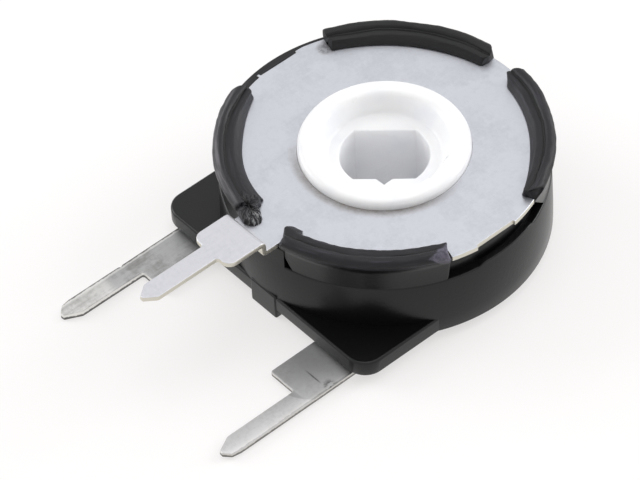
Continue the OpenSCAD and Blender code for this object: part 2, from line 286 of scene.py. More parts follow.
    def finish(self, constants: dict[str, object], colour: Value, rough: Value, relief: Value,
               depth: float) -> None:
        """Adds the shader and the output.

        Args:
            constants: Socket name to a number or colour that is the same all over.
            colour: Base colour.
            rough: Roughness.
            relief: Relief from 0 to 1.
            depth: Depth of that relief in millimetres.
        """
        bumps = {"Strength": 1.0, "Distance": depth * MM, "Height": relief}
        normal = self.add("ShaderNodeBump", inputs=bumps)
        inputs = {**constants, "Base Color": colour, "Roughness": rough, "Normal": normal}
        shader = self.add("ShaderNodeBsdfPrincipled", inputs=inputs)
        self.add("ShaderNodeOutputMaterial", inputs={"Surface": shader})


# ------------------------------------------------------------------- finishes


@dataclass(frozen=True)
class Finish:
    """A finish with a name, dressed onto pieces as a material."""

    name: str

    def material(self) -> bpy.types.Material:
        """Builds the material.

        Returns:
            The material.
        """
        made = bpy.data.materials.new(self.name)
        self.shade(Graph(made))
        return made

    def shade(self, graph: Graph) -> None:
        """Adds the finish's nodes to a graph."""
        raise NotImplementedError


@dataclass(frozen=True)
class BlackMoulding(Finish):
    """Near-black thermoplastic, glossy from the tool and combed by the press at its rim.

    Its tones are those of the moulding, of its pressed rim with combed lines, of the torn fibres at the
    melted end and of the chalky wedge at the end of the front crimp. The groove between the beads and the
    rear stretch of rim keep the dark body tone as painted shade, and a lighter band on the left crimp's
    outer edge is a painted highlight.

    Attributes:
        rim_level: Height at which the pressed rim begins.
        groove_shade_r: Radius of the groove between the rim's two beads, which keeps the dark body tone as
            a painted shade.
        rim_highlight_r: Radii between which the painted highlight on the left crimp's outer edge begins.
        rim_highlight_level: Heights between which it begins.
        melt_centre: Middle of the melted end.
        melt_hub: Point from which its fibres fan out.
        rear_shade_centre: Middle of the rear stretch of rim kept plain and dark as a painted shade, where
            little light falls from behind.
        chalk_turn: Angle in radians at which the chalky wedge is widest.
        chalk_run: Angle in radians over which it narrows to nothing.
        chalk_fall: Radius less height of its middle line.
        chalk_half: How far in that measure it reaches to each side.
    """

    body: Colour = linear(6, 6, 7)
    crimped: Colour = linear(15, 14, 19)
    combed: Colour = linear(48, 47, 55)
    torn: Colour = linear(150, 151, 153)
    chalked: Colour = linear(96, 93, 107)
    # painted highlight along the left crimp's outer edge, where the left lamp catches it
    rim_highlight: Colour = linear(104, 102, 106)
    rim_level: float = 4.85
    groove_shade_r: float = 7.12
    rim_highlight_r: Point = (7.34, 7.46)
    rim_highlight_level: Point = (4.6, 4.8)
    melt_centre: Triple = (-0.3, -7.0, 5.1)
    melt_hub: Triple = (-1.05, -7.05, 5.0)
    rear_shade_centre: Triple = (-4.3, 5.5, 5.2)
    rim_highlight_centre: Triple = (-4.6, -5.4, 4.9)
    chalk_turn: float = math.radians(-18.4)
    chalk_run: float = math.radians(9.6)
    chalk_fall: float = 2.25
    chalk_half: float = 0.64

    def chalk(self, graph: Graph, place: Value, polar_place: Value, fine: Value) -> Value:
        """Masks the chalky wedge.

        Args:
            graph: The graph.
            place: The point on the surface.
            polar_place: The same point as radius, angle and height.
            fine: The fine noise.

        Returns:
            The mask.
        """
        radius, turn, height = graph.axes(polar_place)
        run = (self.chalk_turn - turn) * (1 / self.chalk_run)
        fall = (radius - height - self.chalk_fall).size() * (1 / self.chalk_half)
        ragged = graph.grain(place, 2.4, 3.0) - 0.5
        return (1 - fall - run * run + 0.6 * ragged).step(0.0, 0.25) * (0.5 + 0.5 * fine.step(0.4, 0.6))

    def shade(self, graph: Graph) -> None:
        """Adds the body, the combed rim, the melted and chalky zones, the painted shade and the painted
        highlight.

        Args:
            graph: The graph.
        """
        place = graph.place()
        polar_place = graph.polar(place)
        radius, _, height = graph.axes(polar_place)
        cloud = graph.grain(place, 0.5, 4.0)
        fine = graph.grain(place, 7.0, 4.0, 0.65)
        combing = graph.grain(graph.stretched(polar_place, (9.0, 4.0, 6.0)), 1.0, 4.0, 0.6)
        rim = height.step(self.rim_level - 0.2, self.rim_level + 0.15)
        # Painted shade: the groove between the two beads keeps the dark body tone.
        beads = (radius - self.groove_shade_r).size().step(0.02, 0.1)
        # Painted shade: the rear stretch of rim stays plain and dark, where little light falls from
        # behind.
        pressed = rim * (1 - 0.9 * graph.spot(place, self.rear_shade_centre, 7.0)) * (0.15 + 0.85 * beads)
        # Painted highlight: a lighter band along the outer edge of the left crimp, where the left lamp
        # catches it.
        edge = radius.step(*self.rim_highlight_r) * height.step(*self.rim_highlight_level)
        edge = edge * graph.spot(place, self.rim_highlight_centre, 5.2)
        melt = graph.spot(place, self.melt_centre, 0.85)
        wandering = graph.warped(graph.shifted(place, self.melt_hub), 3.0, 0.3)
        fibres = graph.grain(graph.polar(wandering, (2.0, 9.0, 1.0)), 1.3, 4.0, 0.65)
        tone = graph.layered(
            self.body,
            (pressed, self.crimped),
            (pressed * combing.step(0.5, 0.78), self.combed),
            (edge * (0.25 + 0.75 * combing.step(0.4, 0.65)), self.rim_highlight),
            (self.chalk(graph, place, polar_place, fine), self.chalked),
            (melt * fibres.step(0.5, 0.62), self.torn),
        )
        rough = 0.25 + 0.08 * cloud + rim * (0.12 + 0.2 * combing) + 0.15 * melt
        relief = 0.25 * fine + 0.35 * cloud + rim * combing + melt * fibres
        graph.finish({"Specular IOR Level": 0.34}, tone, rough, relief, 0.02)


@dataclass(frozen=True)
class WhiteMoulding(Finish):
    """White engineering plastic of the rotor."""

    body: Colour = linear(250, 251, 253)
    mottle: Colour = linear(240, 241, 247)

    def shade(self, graph: Graph) -> None:
        """Adds an even white with a faint mottle.

        Args:
            graph: The graph.
        """
        place = graph.place()
        cloud = graph.grain(place, 0.6, 3.0)
        fine = graph.grain(place, 9.0, 2.0)
        tone = graph.blend(cloud.step(0.35, 0.75), self.body, self.mottle)
        constants = {"Specular IOR Level": 0.5, "Subsurface Weight": 0.65, "Subsurface Scale": 0.8 * MM,
                     "Subsurface Radius": (1.0, 1.0, 1.0)}
        graph.finish(constants, tone, 0.24 + 0.1 * cloud, 0.3 * cloud + 0.2 * fine, 0.004)


@dataclass(frozen=True)
class SheetMetal(Finish):
    """Plated or tinned sheet with rolling grain, speckle and a dulled bloom.

    Attributes:
        bright: Tone of the clean plating.
        dull: Tone of the bloom.
        gloss: Roughness of the clean plating.
        blotch: How strongly the bloom shows, from 0 to 1.
        cut: Tone of the burnished part of a sheared edge.
        rough_cut_and_shadow: Tone of its rough part, which on the tabs also stands for a painted shadow
            line at the edge's foot.
        cut_split: Height at which the rough part gives way to the burnished one.
        dip_hub: Point round which the dipped tin ends in an arc.
        dip_reach: Distance from that point beyond which the sheet was dipped.
        dip_soft: Width of the boundary.
        dipped: Tone of the dipped end.
        streaks: How strong the lines along the sheet are.
        metallic: How metallic the plating is, less where it is matte.
    """

    bright: Colour
    dull: Colour
    gloss: float
    blotch: float
    cut: Colour = linear(212, 208, 196)
    rough_cut_and_shadow: Colour = linear(186, 182, 170)
    cut_split: float = -99.0
    dip_hub: Triple = (0.0, 40.0, 0.0)
    dip_reach: float = 99.0
    dip_soft: float = 0.45
    dipped: Colour = linear(200, 200, 202)
    streaks: float = 0.3
    metallic: float = 1.0

    def shade(self, graph: Graph) -> None:
        """Adds rolling lines, speckle, bloom, the dipped end and the sheared edges.

        Args:
            graph: The graph.
        """
        place = graph.place()
        bloom = graph.grain(place, 0.55, 5.0, 0.6).step(0.42, 0.62) * self.blotch
        rolled = graph.grain(graph.stretched(place, (9.0, 0.5, 1.0)), 1.0, 3.0)
        speckle = graph.grain(place, 5.0, 4.0, 0.7)
        reached = graph.distance(place, self.dip_hub) + graph.grain(place, 0.8, 2.0) * self.dip_soft
        dipped = reached.step(self.dip_reach, self.dip_reach + self.dip_soft)
        mask = bloom * (1 - 0.55 * dipped) + (speckle - 0.5) * 1.1 + (rolled - 0.5) * self.streaks
        tone = graph.layered(self.bright, (dipped, self.dipped), (mask.highest(0.0), self.dull))
        tone = self.marked(graph, place, tone, speckle)
        # Below the split the edge takes the rough tone, which on the tabs is partly a painted shadow line
        # at the sheet's foot.
        height = graph.axes(place)[2] + (speckle - 0.5) * 0.2
        burnished = height.step(self.cut_split - 0.03, self.cut_split + 0.03)
        tone = graph.blend(graph.facing_side(), tone, graph.blend(burnished, self.rough_cut_and_shadow, self.cut))
        rough = self.gloss + 0.14 * bloom + 0.08 * rolled
        relief = 0.3 * rolled + 0.4 * speckle + 0.6 * bloom
        graph.finish({"Metallic": self.metallic}, tone, rough, relief, 0.008)

    def marked(self, graph: Graph, place: Value, tone: Value, speckle: Value) -> Value:
        """Returns the tone with the marks of use, of which a plain sheet has none."""
        return tone


@dataclass(frozen=True)
class CoverMetal(SheetMetal):
    """Plating of the cover, with a painted shadow and dirt round the boss and a painted shadow by a crimp.

    Attributes:
        shadow_and_grime_r: Radii between which the painted shadow and dirt fade out.
        shadow_and_grime_way: Direction from the axis in which the painted shadow lies, the side away from
            the lamps.
    """

    # painted contact shadow of the boss, with a few dark specks of dirt
    shadow_and_grime: Colour = linear(128, 122, 116)
    shadow_and_grime_r: Point = (4.02, 4.45)
    shadow_and_grime_way: Triple = (0.47, -0.883, 0.0)
    # painted shadow that the end of the rear-left crimp's lip casts on the plate
    lip_shadow: Colour = linear(128, 128, 131)
    lip_shadow_centre: Triple = (-6.52, 2.25, 4.9)

    def marked(self, graph: Graph, place: Value, tone: Value, speckle: Value) -> Value:
        """Adds the painted shadow with dirt round the boss and the painted shadow beside a crimp's end.

        Args:
            graph: The graph.
            place: The point on the surface.
            tone: The clean tone.
            speckle: The fine noise.

        Returns:
            The marked tone.
        """
        radius = graph.axes(graph.polar(place))[0]
        along = graph.vector("DOT_PRODUCT", place, self.shadow_and_grime_way, 1)
        # Painted shadow: a brown ring at the foot of the boss on the side away from the lamps, flecked
        # with dirt.
        ring = (1 - radius.step(*self.shadow_and_grime_r)) * along.step(0.6, 3.4)
        # Painted shadow: a grey patch on the plate under the end of the rear-left crimp's lip.
        lip_shadow = graph.spot(place, self.lip_shadow_centre, 0.55) * (0.45 + 0.55 * speckle.step(0.35, 0.6))
        return graph.layered(tone, (ring * (0.32 + 0.8 * speckle), self.shadow_and_grime), (lip_shadow, self.lip_shadow))


@dataclass(frozen=True)
class TabMetal(SheetMetal):
    """Tin of an outer terminal, with the burr along its outer edge and scuffs.

    Attributes:
        burr_x: Distance from the middle at which the burr begins.
        burr: How strongly it shows.
        scuff: Tone of the scuffs.
        line_y: The y of a short scratch across the sheet.
        line_ends: Its two ends in x.
        worn_spot: Centre of a worn patch beside the edge.
    """

    burr_x: float = 5.9
    burr: float = 0.75
    scuff: Colour = linear(88, 88, 86)
    line_y: float = -8.83
    line_ends: Point = (4.3, 5.6)
    worn_spot: Triple = (5.86, -8.62, 0.35)

    def marked(self, graph: Graph, place: Value, tone: Value, speckle: Value) -> Value:
        """Adds the burr, the scratch and the worn patch.

        Args:
            graph: The graph.
            place: The point on the surface.
            tone: The clean tone.
            speckle: The fine noise.

        Returns:
            The marked tone.
        """
        x, y, _ = graph.axes(place)
        outwards = x.size() + (speckle - 0.5) * 0.16
        burr = outwards.step(self.burr_x, self.burr_x + 0.03)
        shine = outwards.step(self.burr_x - 0.12, self.burr_x - 0.06) - burr
        near, far = self.line_ends
        line = 1 - ((y - self.line_y).size() + (speckle - 0.5) * 0.05).step(0.01, 0.06)
        line = line * x.step(near, near + 0.6) * (1 - x.step(far - 0.4, far))
        worn = graph.spot(place, self.worn_spot, 0.42) * speckle.step(0.42, 0.58)
        return graph.layered(
            tone,
            ((shine * 0.6 * self.burr).highest(0.0), self.cut),
            (burr * self.burr, self.rough_cut_and_shadow),
            ((line * 0.85).highest(worn * 0.8), self.scuff),
        )


@dataclass(frozen=True)
class PrintedFilm(Finish):
    """Screen-printed film of carbon or silver.

    Attributes:
        ink: Tone of the ink.
        dusty: Tone of its grain.
        metal: 1 for silver, 0 for carbon.
    """

    ink: Colour
    dusty: Colour
    metal: float

    def shade(self, graph: Graph) -> None:
        """Adds a fine printed grain.

        Args:
            graph: The graph.
        """
        grain = graph.grain(graph.place(), 12.0, 4.0, 0.7)
        tone = graph.blend(grain, self.ink, self.dusty)
        graph.finish({"Metallic": self.metal}, tone, 0.5 + 0.25 * grain, grain, 0.004)


@dataclass(frozen=True)
class Phenolic(Finish):
    """Brown paper-based phenolic laminate."""

    resin: Colour = linear(128, 82, 42)
    paper: Colour = linear(158, 110, 62)

    def shade(self, graph: Graph) -> None:
        """Adds paper fibres under resin.

        Args:
            graph: The graph.
        """
        fibres = graph.grain(graph.stretched(graph.place(), (1.0, 6.0, 1.0)), 2.2, 5.0, 0.65)
        tone = graph.blend(fibres.step(0.35, 0.7), self.resin, self.paper)
        graph.finish({"Specular IOR Level": 0.5}, tone, 0.34 + 0.2 * fibres, fibres, 0.008)


# --------------------------------------------------------------- mesh building


def clamped(share: float, lowest: float = 0.0) -> float:
    """Returns a share held between a lowest value and 1."""
    return min(max(share, lowest), 1.0)


def arc(x: float, y: float, radius: float, start: float, stop: float, steps: int) -> list[Point]:
    """Returns an arc about a centre as so many chords between two angles in degrees."""
    angles = (math.radians(start + (stop - start) * i / steps) for i in range(steps + 1))
    return [(x + radius * math.cos(a), y + radius * math.sin(a)) for a in angles]


def swung(radius: float, height: float, angle: float) -> Vector:
    """Returns the point at a radius and a height, swung round the rotor axis by degrees."""
    turn = math.radians(angle)
    return Vector((radius * math.cos(turn), radius * math.sin(turn), height))


def filleted(corners: Sequence[Triple], steps: int = 5) -> list[Point]:
    """Rounds the corners of a polygon, apart from those that are nearly straight.

    Args:
        corners: x, y and fillet radius of each corner, in order.
        steps: Chords per fillet.

    Returns:
        The rounded outline.
    """
    straight = math.radians(89)
    outline: list[Point] = []
    for index, (x, y, radius) in enumerate(corners):
        here = Vector((x, y))
        before = (Vector(corners[index - 1][:2]) - here).normalized()
        after = (Vector(corners[(index + 1) % len(corners)][:2]) - here).normalized()
        half = before.angle(after) / 2
        if radius <= 0 or half > straight:
            outline.append((x, y))
            continue
        run = radius / math.tan(half)
        centre = here + (before + after).normalized() * (radius / math.sin(half))
        first = here + before * run - centre
        last = here + after * run - centre
        turn = math.atan2(first.x * last.y - first.y * last.x, first.dot(last))
        for i in range(steps + 1):
            point = centre + Matrix.Rotation(turn * i / steps, 2) @ first
            outline.append((point.x, point.y))
    return outline


def inset(outline: Sequence[Point], distance: float) -> list[Point]:
    """Moves a counter-clockwise outline inwards along its mitres.

    Args:
        outline: The outline.
        distance: How far inwards.

    Returns:
        The outline with as many points. No mitre is longer than 1.6 times the distance.
    """
    least, longest = 0.3, 1.6
    moved: list[Point] = []
    for index, here in enumerate(outline):
        back = Vector(here) - Vector(outline[index - 1])
        ahead = Vector(outline[(index + 1) % len(outline)]) - Vector(here)
        left_back = Vector((-back.y, back.x)).normalized()
        left_ahead = Vector((-ahead.y, ahead.x)).normalized()
        mitre = left_back + left_ahead
        if mitre.length < 1e-6:
            mitre = left_ahead
        mitre.normalize()
        stretch = min(1 / max(mitre.dot(left_ahead), least), longest)
        moved.append((here[0] + mitre.x * distance * stretch, here[1] + mitre.y * distance * stretch))
    return moved


class Solid:
    """A closed mesh under construction, in millimetres."""

    def __init__(self, mesh: bpy.types.Mesh | None = None) -> None:
        """Starts empty, or from a mesh."""
        self.work = bmesh.new()
        if mesh is not None:
            self.work.from_mesh(mesh)

    @classmethod
    def lofted(cls, rings: Sequence[Sequence[Vector]], closed: bool = False) -> Solid:
        """Joins rings of equally many points.

        Args:
            rings: The rings in order.
            closed: Whether the last ring joins the first, in place of two caps.

        Returns:
            The solid.
        """
        solid = cls()
        work = solid.work
        rows = [[work.verts.new(point) for point in ring] for ring in rings]
        size = len(rows[0])
        pairs = list(zip(rows, rows[1:])) + ([(rows[-1], rows[0])] if closed else [])
        for low, high in pairs:
            for i in range(size):
                j = (i + 1) % size
                work.faces.new((low[i], low[j], high[j], high[i]))
        if not closed:
            work.faces.new(list(reversed(rows[0])))
            work.faces.new(rows[-1])
        bmesh.ops.recalc_face_normals(work, faces=work.faces[:])
        return solid

    @classmethod
    def turned(cls, section: Callable[[float], Sequence[Point]], angles: Sequence[float],
               closed: bool = True) -> Solid:
        """Sweeps the section that each angle has, as (radius, height), round the rotor axis."""
        rings = [[swung(r, z, angle) for r, z in section(angle)] for angle in angles]
        return cls.lofted(rings, closed)

    @classmethod
    def sheet(cls, outline: Sequence[Point], low: float, high: float, edge: float) -> Solid:
        """Extrudes a counter-clockwise outline with rounded upper and lower edges.

        Args:
            outline: The outline.
            low: Lower face's level.
            high: Upper face's level.
            edge: Radius of the rounded edges.

        Returns:
            The solid.
        """
        turns = [math.radians(angle) for angle in (0, 30, 60, 90)]
        levels = [(turn, low, 1) for turn in turns] + [(turn, high, -1) for turn in reversed(turns)]
        rings = []
        for turn, level, inwards in levels:
            z = level + inwards * edge * (1 - math.cos(turn))
            rings.append([Vector((x, y, z)) for x, y in inset(outline, edge * (1 - math.sin(turn)))])
        return cls.lofted(rings)

    def moved(self, change: Callable[[Vector], Vector]) -> Solid:
        """Moves every point by a rule.

        Args:
            change: Gives a point's new place.

        Returns:
            The solid.
        """
        for vert in self.work.verts:
            vert.co = change(vert.co)
        return self

    def sliced(self, levels: Sequence[float]) -> Solid:
        """Cuts extra edges across the mesh so that it can bend along y.

        Args:
            levels: The y of each cut.

        Returns:
            The solid.
        """
        for level in levels:
            everything = [*self.work.verts, *self.work.edges, *self.work.faces]
            bmesh.ops.bisect_plane(self.work, geom=everything, plane_co=(0, level, 0), plane_no=(0, 1, 0),
                                   dist=1e-5)
        return self

    def mirrored(self) -> Solid:
        """Mirrors the solid to the other side.

        Returns:
            The solid.
        """
        for vert in self.work.verts:
            vert.co.x = -vert.co.x
        bmesh.ops.reverse_faces(self.work, faces=self.work.faces[:])
        return self

    def _object(self, name: str) -> bpy.types.Object:
        """Puts the mesh in an object of its own.

        Args:
            name: The object's name.

        Returns:
            The object, linked to the scene.
        """
        mesh = bpy.data.meshes.new(name)
        self.work.to_mesh(mesh)
        made = bpy.data.objects.new(name, mesh)
        bpy.context.scene.collection.objects.link(made)
        return made

    def combined(self, others: Sequence[Solid], operation: str, flat: float = 0.4) -> Solid:
        """Adds or cuts other solids.

        Args:
            others: The other solids.
            operation: UNION or DIFFERENCE.
            flat: Degrees up to which neighbouring faces count as one flat face.

        Returns:
            The new solid.
        """
        base = self._object("work_base")
        tools = [other._object("work_tool") for other in others]
        for tool in tools:
            modifier = base.modifiers.new("join", "BOOLEAN")
            modifier.operation, modifier.solver, modifier.object = operation, "MANIFOLD", tool
        graph = bpy.context.evaluated_depsgraph_get()
        joined = Solid(bpy.data.meshes.new_from_object(base.evaluated_get(graph)))
        for spent in (base, *tools):
            bpy.data.objects.remove(spent)
        work = joined.work
        bmesh.ops.dissolve_limit(work, verts=work.verts[:], edges=work.edges[:],
                                 angle_limit=math.radians(flat))
        return joined

    def piece(self, name: str, finish: bpy.types.Material, sharp: float = 32.0) -> bpy.types.Object:
        """Turns the solid into a finished piece in metres.

        Args:
            name: The piece's name.
            finish: Its material.
            sharp: Angle in degrees above which an edge stays sharp.

        Returns:
            The piece.
        """
        bmesh.ops.remove_doubles(self.work, verts=self.work.verts[:], dist=1e-4)
        bmesh.ops.dissolve_degenerate(self.work, edges=self.work.edges[:], dist=1e-5)
        bmesh.ops.scale(self.work, vec=(MM, MM, MM), verts=self.work.verts[:])
        made = self._object(name)
        made.data.materials.clear()
        made.data.materials.append(finish)
        for polygon in made.data.polygons:
            polygon.use_smooth = True
            polygon.material_index = 0
        made.data.set_sharp_from_angle(angle=math.radians(sharp))
        weighted = made.modifiers.new("even shading", "WEIGHTED_NORMAL")
        weighted.keep_sharp = True
        LOG.info("%s: %d faces", name, len(made.data.polygons))
        return made


def around(step: float, extra: Sequence[float] = ()) -> list[float]:
    """Returns the angles all the way round in steps of so many degrees, with the extra ones."""
    regular = {round(step * i, 4) for i in range(round(360 / step))}
    return sorted(regular | {round(angle % 360, 4) for angle in extra})


def between(start: float, stop: float, step: float) -> list[float]:
    """Returns evenly spaced angles from start to stop, both included."""
    count = max(2, math.ceil(abs(stop - start) / step))
    return [start + (stop - start) * i / count for i in range(count + 1)]


def apart(angle: float, heading: float) -> float:
    """Returns the angle between a direction and a heading, from -180 to 180."""
    return (angle - heading + 180) % 360 - 180


# ------------------------------------------------------------- sub-assemblies


@dataclass
class Levels:
    """Heights, radii and places in millimetres that the pieces share."""

    wall_r: float = 7.5
    wall_foot_r: float = 7.56
    cavity_r: float = 6.75
    bore_r: float = 2.83
    terminal_t: float = 0.35
    foot_z: float = 0.48
    floor_z: float = 0.9
    flange_z: float = 1.33
    ledge_z: float = 3.6
    seat_z: float = 4.64
    plate_z: float = 4.9
    rim_z: float = 4.86
    lip_z: float = 5.5
    boss_z: float = 5.3
    head_end: float = -10.16
    rest_angle: float = -42.5


@dataclass
class Tab:
    """Outer terminal: a flat sheet with tongue, shoulder and tapered pin.

    Attributes:
        pin_x: Distance from the middle to the pin's middle line.
        tip_plan: Corners of its tip: distance from that line, y and fillet radius.
        shoulder_in: Distance from the middle to the shoulder's inner edge.
        shoulder_ends: The y at which the shoulder ends, left and right.
        tongue_in: The y at which the narrow tongue begins.
        sink_r: Radius of the countersink just below the underside, where it is widest.
        sink_depth: Level at which it has narrowed to the hole.
        undersides: Level of the underside, left and right.
        free_y: The y beyond which the sheet is free of the moulding and a little uneven.
        slices_y: The y from which cuts run inwards across the sheet.
        dent_x: Distance from the middle beyond which the left pin's dent shows.
    """

    levels: Levels
    pin_x: float = 5.5
    pin_w: float = 1.0
    tip_plan: tuple[Triple, ...] = (
        (-0.5, -13.8, 0.3), (-0.1, -14.58, 0.06), (0.1, -14.6, 0.08), (0.42, -14.3, 0.15),
        (0.5, -13.85, 0.3),
    )
    shoulder_in: float = 3.45
    shoulder_ends: Point = (-10.3, -10.0)
    tongue_in: float = -6.3
    rivet_x: float = 4.225
    rivet_y: float = -3.974
    rivet_r: float = 0.35
    sink_r: float = 0.62
    sink_depth: float = 0.15
    undersides: Point = (0.0, 0.1)
    free_y: float = -7.7
    slices_y: float = -14.5
    dent_x: float = 5.9
    dent_y: float = -10.82
    edge: float = 0.04

    def outline(self, side: Side, grow: float = 0.0) -> list[Point]:
        """Outlines a terminal as if it stood on the right.

        Args:
            side: Which terminal it is.
            grow: Clearance to add round the part that lies under the housing.

        Returns:
            The counter-clockwise outline.
        """
        outer = self.pin_x + self.pin_w / 2
        inner = self.pin_x - self.pin_w / 2
        tongue = (inner - self.shoulder_in) / 2 + grow
        root = self.tongue_in + grow
        end = self.shoulder_ends[side is Side.RIGHT]
        head = arc(self.rivet_x, self.rivet_y, tongue, 0, 180, 20)
        return filleted([
            (inner, end, 0.12), *((self.pin_x + x, y, radius) for x, y, radius in self.tip_plan),
            (outer + grow, root, 0.05), (self.rivet_x + tongue, root, 0.05),
            *((x, y, 0.0) for x, y in head),
            (self.rivet_x - tongue, root, 0.0), (self.shoulder_in - grow, end, 0.12),
        ], 4)

    def rivet_hole(self, side: Side, low: float, high: float) -> Solid:
        """Returns what a rivet's hole takes away on one side, between two levels."""
        outline = arc(side.value * self.rivet_x, self.rivet_y, self.rivet_r, 0, 345, 23)
        return Solid.sheet(outline, low, high, 0.01)

    def build(self, side: Side, finish: bpy.types.Material) -> bpy.types.Object:
        """Builds one terminal.

        Args:
            side: Which side it stands on.
            finish: Its material.

        Returns:
            The piece.
        """
        low = self.undersides[side is Side.RIGHT]
        flat = Solid.sheet(self.outline(side), low, self.levels.terminal_t, self.edge)
        axis, below, top = 0.02, -0.05, self.sink_depth
        sink = [(self.sink_r, below), (self.rivet_r, top), (axis, top), (axis, below)]
        cone = Solid.turned(lambda _: sink, around(15.0))
        cone.moved(lambda p: p + Vector((self.rivet_x, self.rivet_y, 0)))
        solid = flat.combined([self.rivet_hole(Side.RIGHT, -0.2, 0.6), cone], "DIFFERENCE")
        solid.sliced([self.slices_y + 0.2 * i for i in range(1, 50)])
        solid.sliced([self.dent_y + 0.05 * i for i in range(-3, 4)])
        solid.moved(lambda p: self.handled(p, side))
        if side is Side.LEFT:
            solid.mirrored()
        return solid.piece(f"{side.name.lower()}_tab", finish)

    def handled(self, point: Vector, side: Side) -> Vector:
        """Gives the sheet the slight unevenness of a stamped and tinned piece.

        Args:
            point: A point of the flat sheet.
            side: Which terminal it is.

        Returns:
            The point, moved by some hundredths of a millimetre.
        """
        grows_over, sag, dent_depth, dent_half = 2.0, 0.02, 0.06, 0.08
        free = clamped((self.free_y - point.y) / grows_over)
        wave = noise.noise(Vector((point.x * 0.6, point.y * 0.6, 3.0 * side.value)))
        top = point.z / self.levels.terminal_t
        dented = side is Side.LEFT and point.x > self.dent_x
        dent = math.exp(-(((point.y - self.dent_y) / dent_half) ** 2)) if dented else 0.0
        return Vector((point.x - dent_depth * dent, point.y, point.z - sag * free * top * (1 + wave)))


@dataclass(frozen=True)
class Crimp:
    """One stretch of the rim that is pressed down over the cover sheet.

    Attributes:
        start: Angle of its first end in degrees.
        stop: Angle of its other end in degrees.
        lips: Radius of the lip's edge at the start, in the middle and at the stop.
        cuts: Degrees by which the skirt's foot falls short at the start and at the stop.
        seed: Makes its unevenness its own.
        rounds: How rounded the start and the stop are in plan, 0 for a square end.
        tips: Radius at which the start and the stop reach furthest.
        tab_share: Share of its run, from the start, over which the lip reaches further in.
        tab_reach: How much further it reaches there.
        leans: Degrees per millimetre by which the start and the stop fall back towards the lip.
        overhangs: Degrees by which the start and the stop reach beyond the skirt.
    """

    start: float
    stop: float
    lips: Triple
    cuts: Point
    seed: float
    rounds: Point
    tips: Point = (7.1, 7.1)
    tab_share: float = 0.0
    tab_reach: float = 0.0
    leans: Point = (0.0, 0.0)
    overhangs: Point = (0.0, 0.0)

    def lip(self, share: float) -> float:
        """Gives the radius of the lip's edge.

        Args:
            share: Share of the way from start to stop.

        Returns:
            The radius.
        """
        first, middle, last = self.lips
        end = first if share < 0.5 else last
        further = self.tab_reach if share < self.tab_share else 0.0
        return middle + (end - middle) * abs(2 * share - 1) ** 2.2 - further

    def falls_short(self, radius: float, height: float, at_stop: bool) -> float:
        """Gives the angle by which an end falls short at a point of the section.

        Args:
            radius: The point's radius.
            height: The point's height.
            at_stop: Whether it is the stop rather than the start.

        Returns:
            The angle in degrees.
        """
        tip, curve, most = self.tips[at_stop], 3.2, 4.5
        skirt_in, skirt_top, lip_foot = 7.0, 4.7, 4.95
        plan = min(curve * ((radius - tip) / 0.5) ** 2, most)
        high = clamped((height - skirt_top) / 0.5, 0.3)
        below = clamped((skirt_top - height) / 1.1)
        lean = self.leans[at_stop] * max(tip - radius, 0.0)
        under = self.overhangs[at_stop] * clamped((lip_foot - height) / 0.1) * (radius > skirt_in)
        return plan * high * self.rounds[at_stop] + self.cuts[at_stop] * below + lean + under


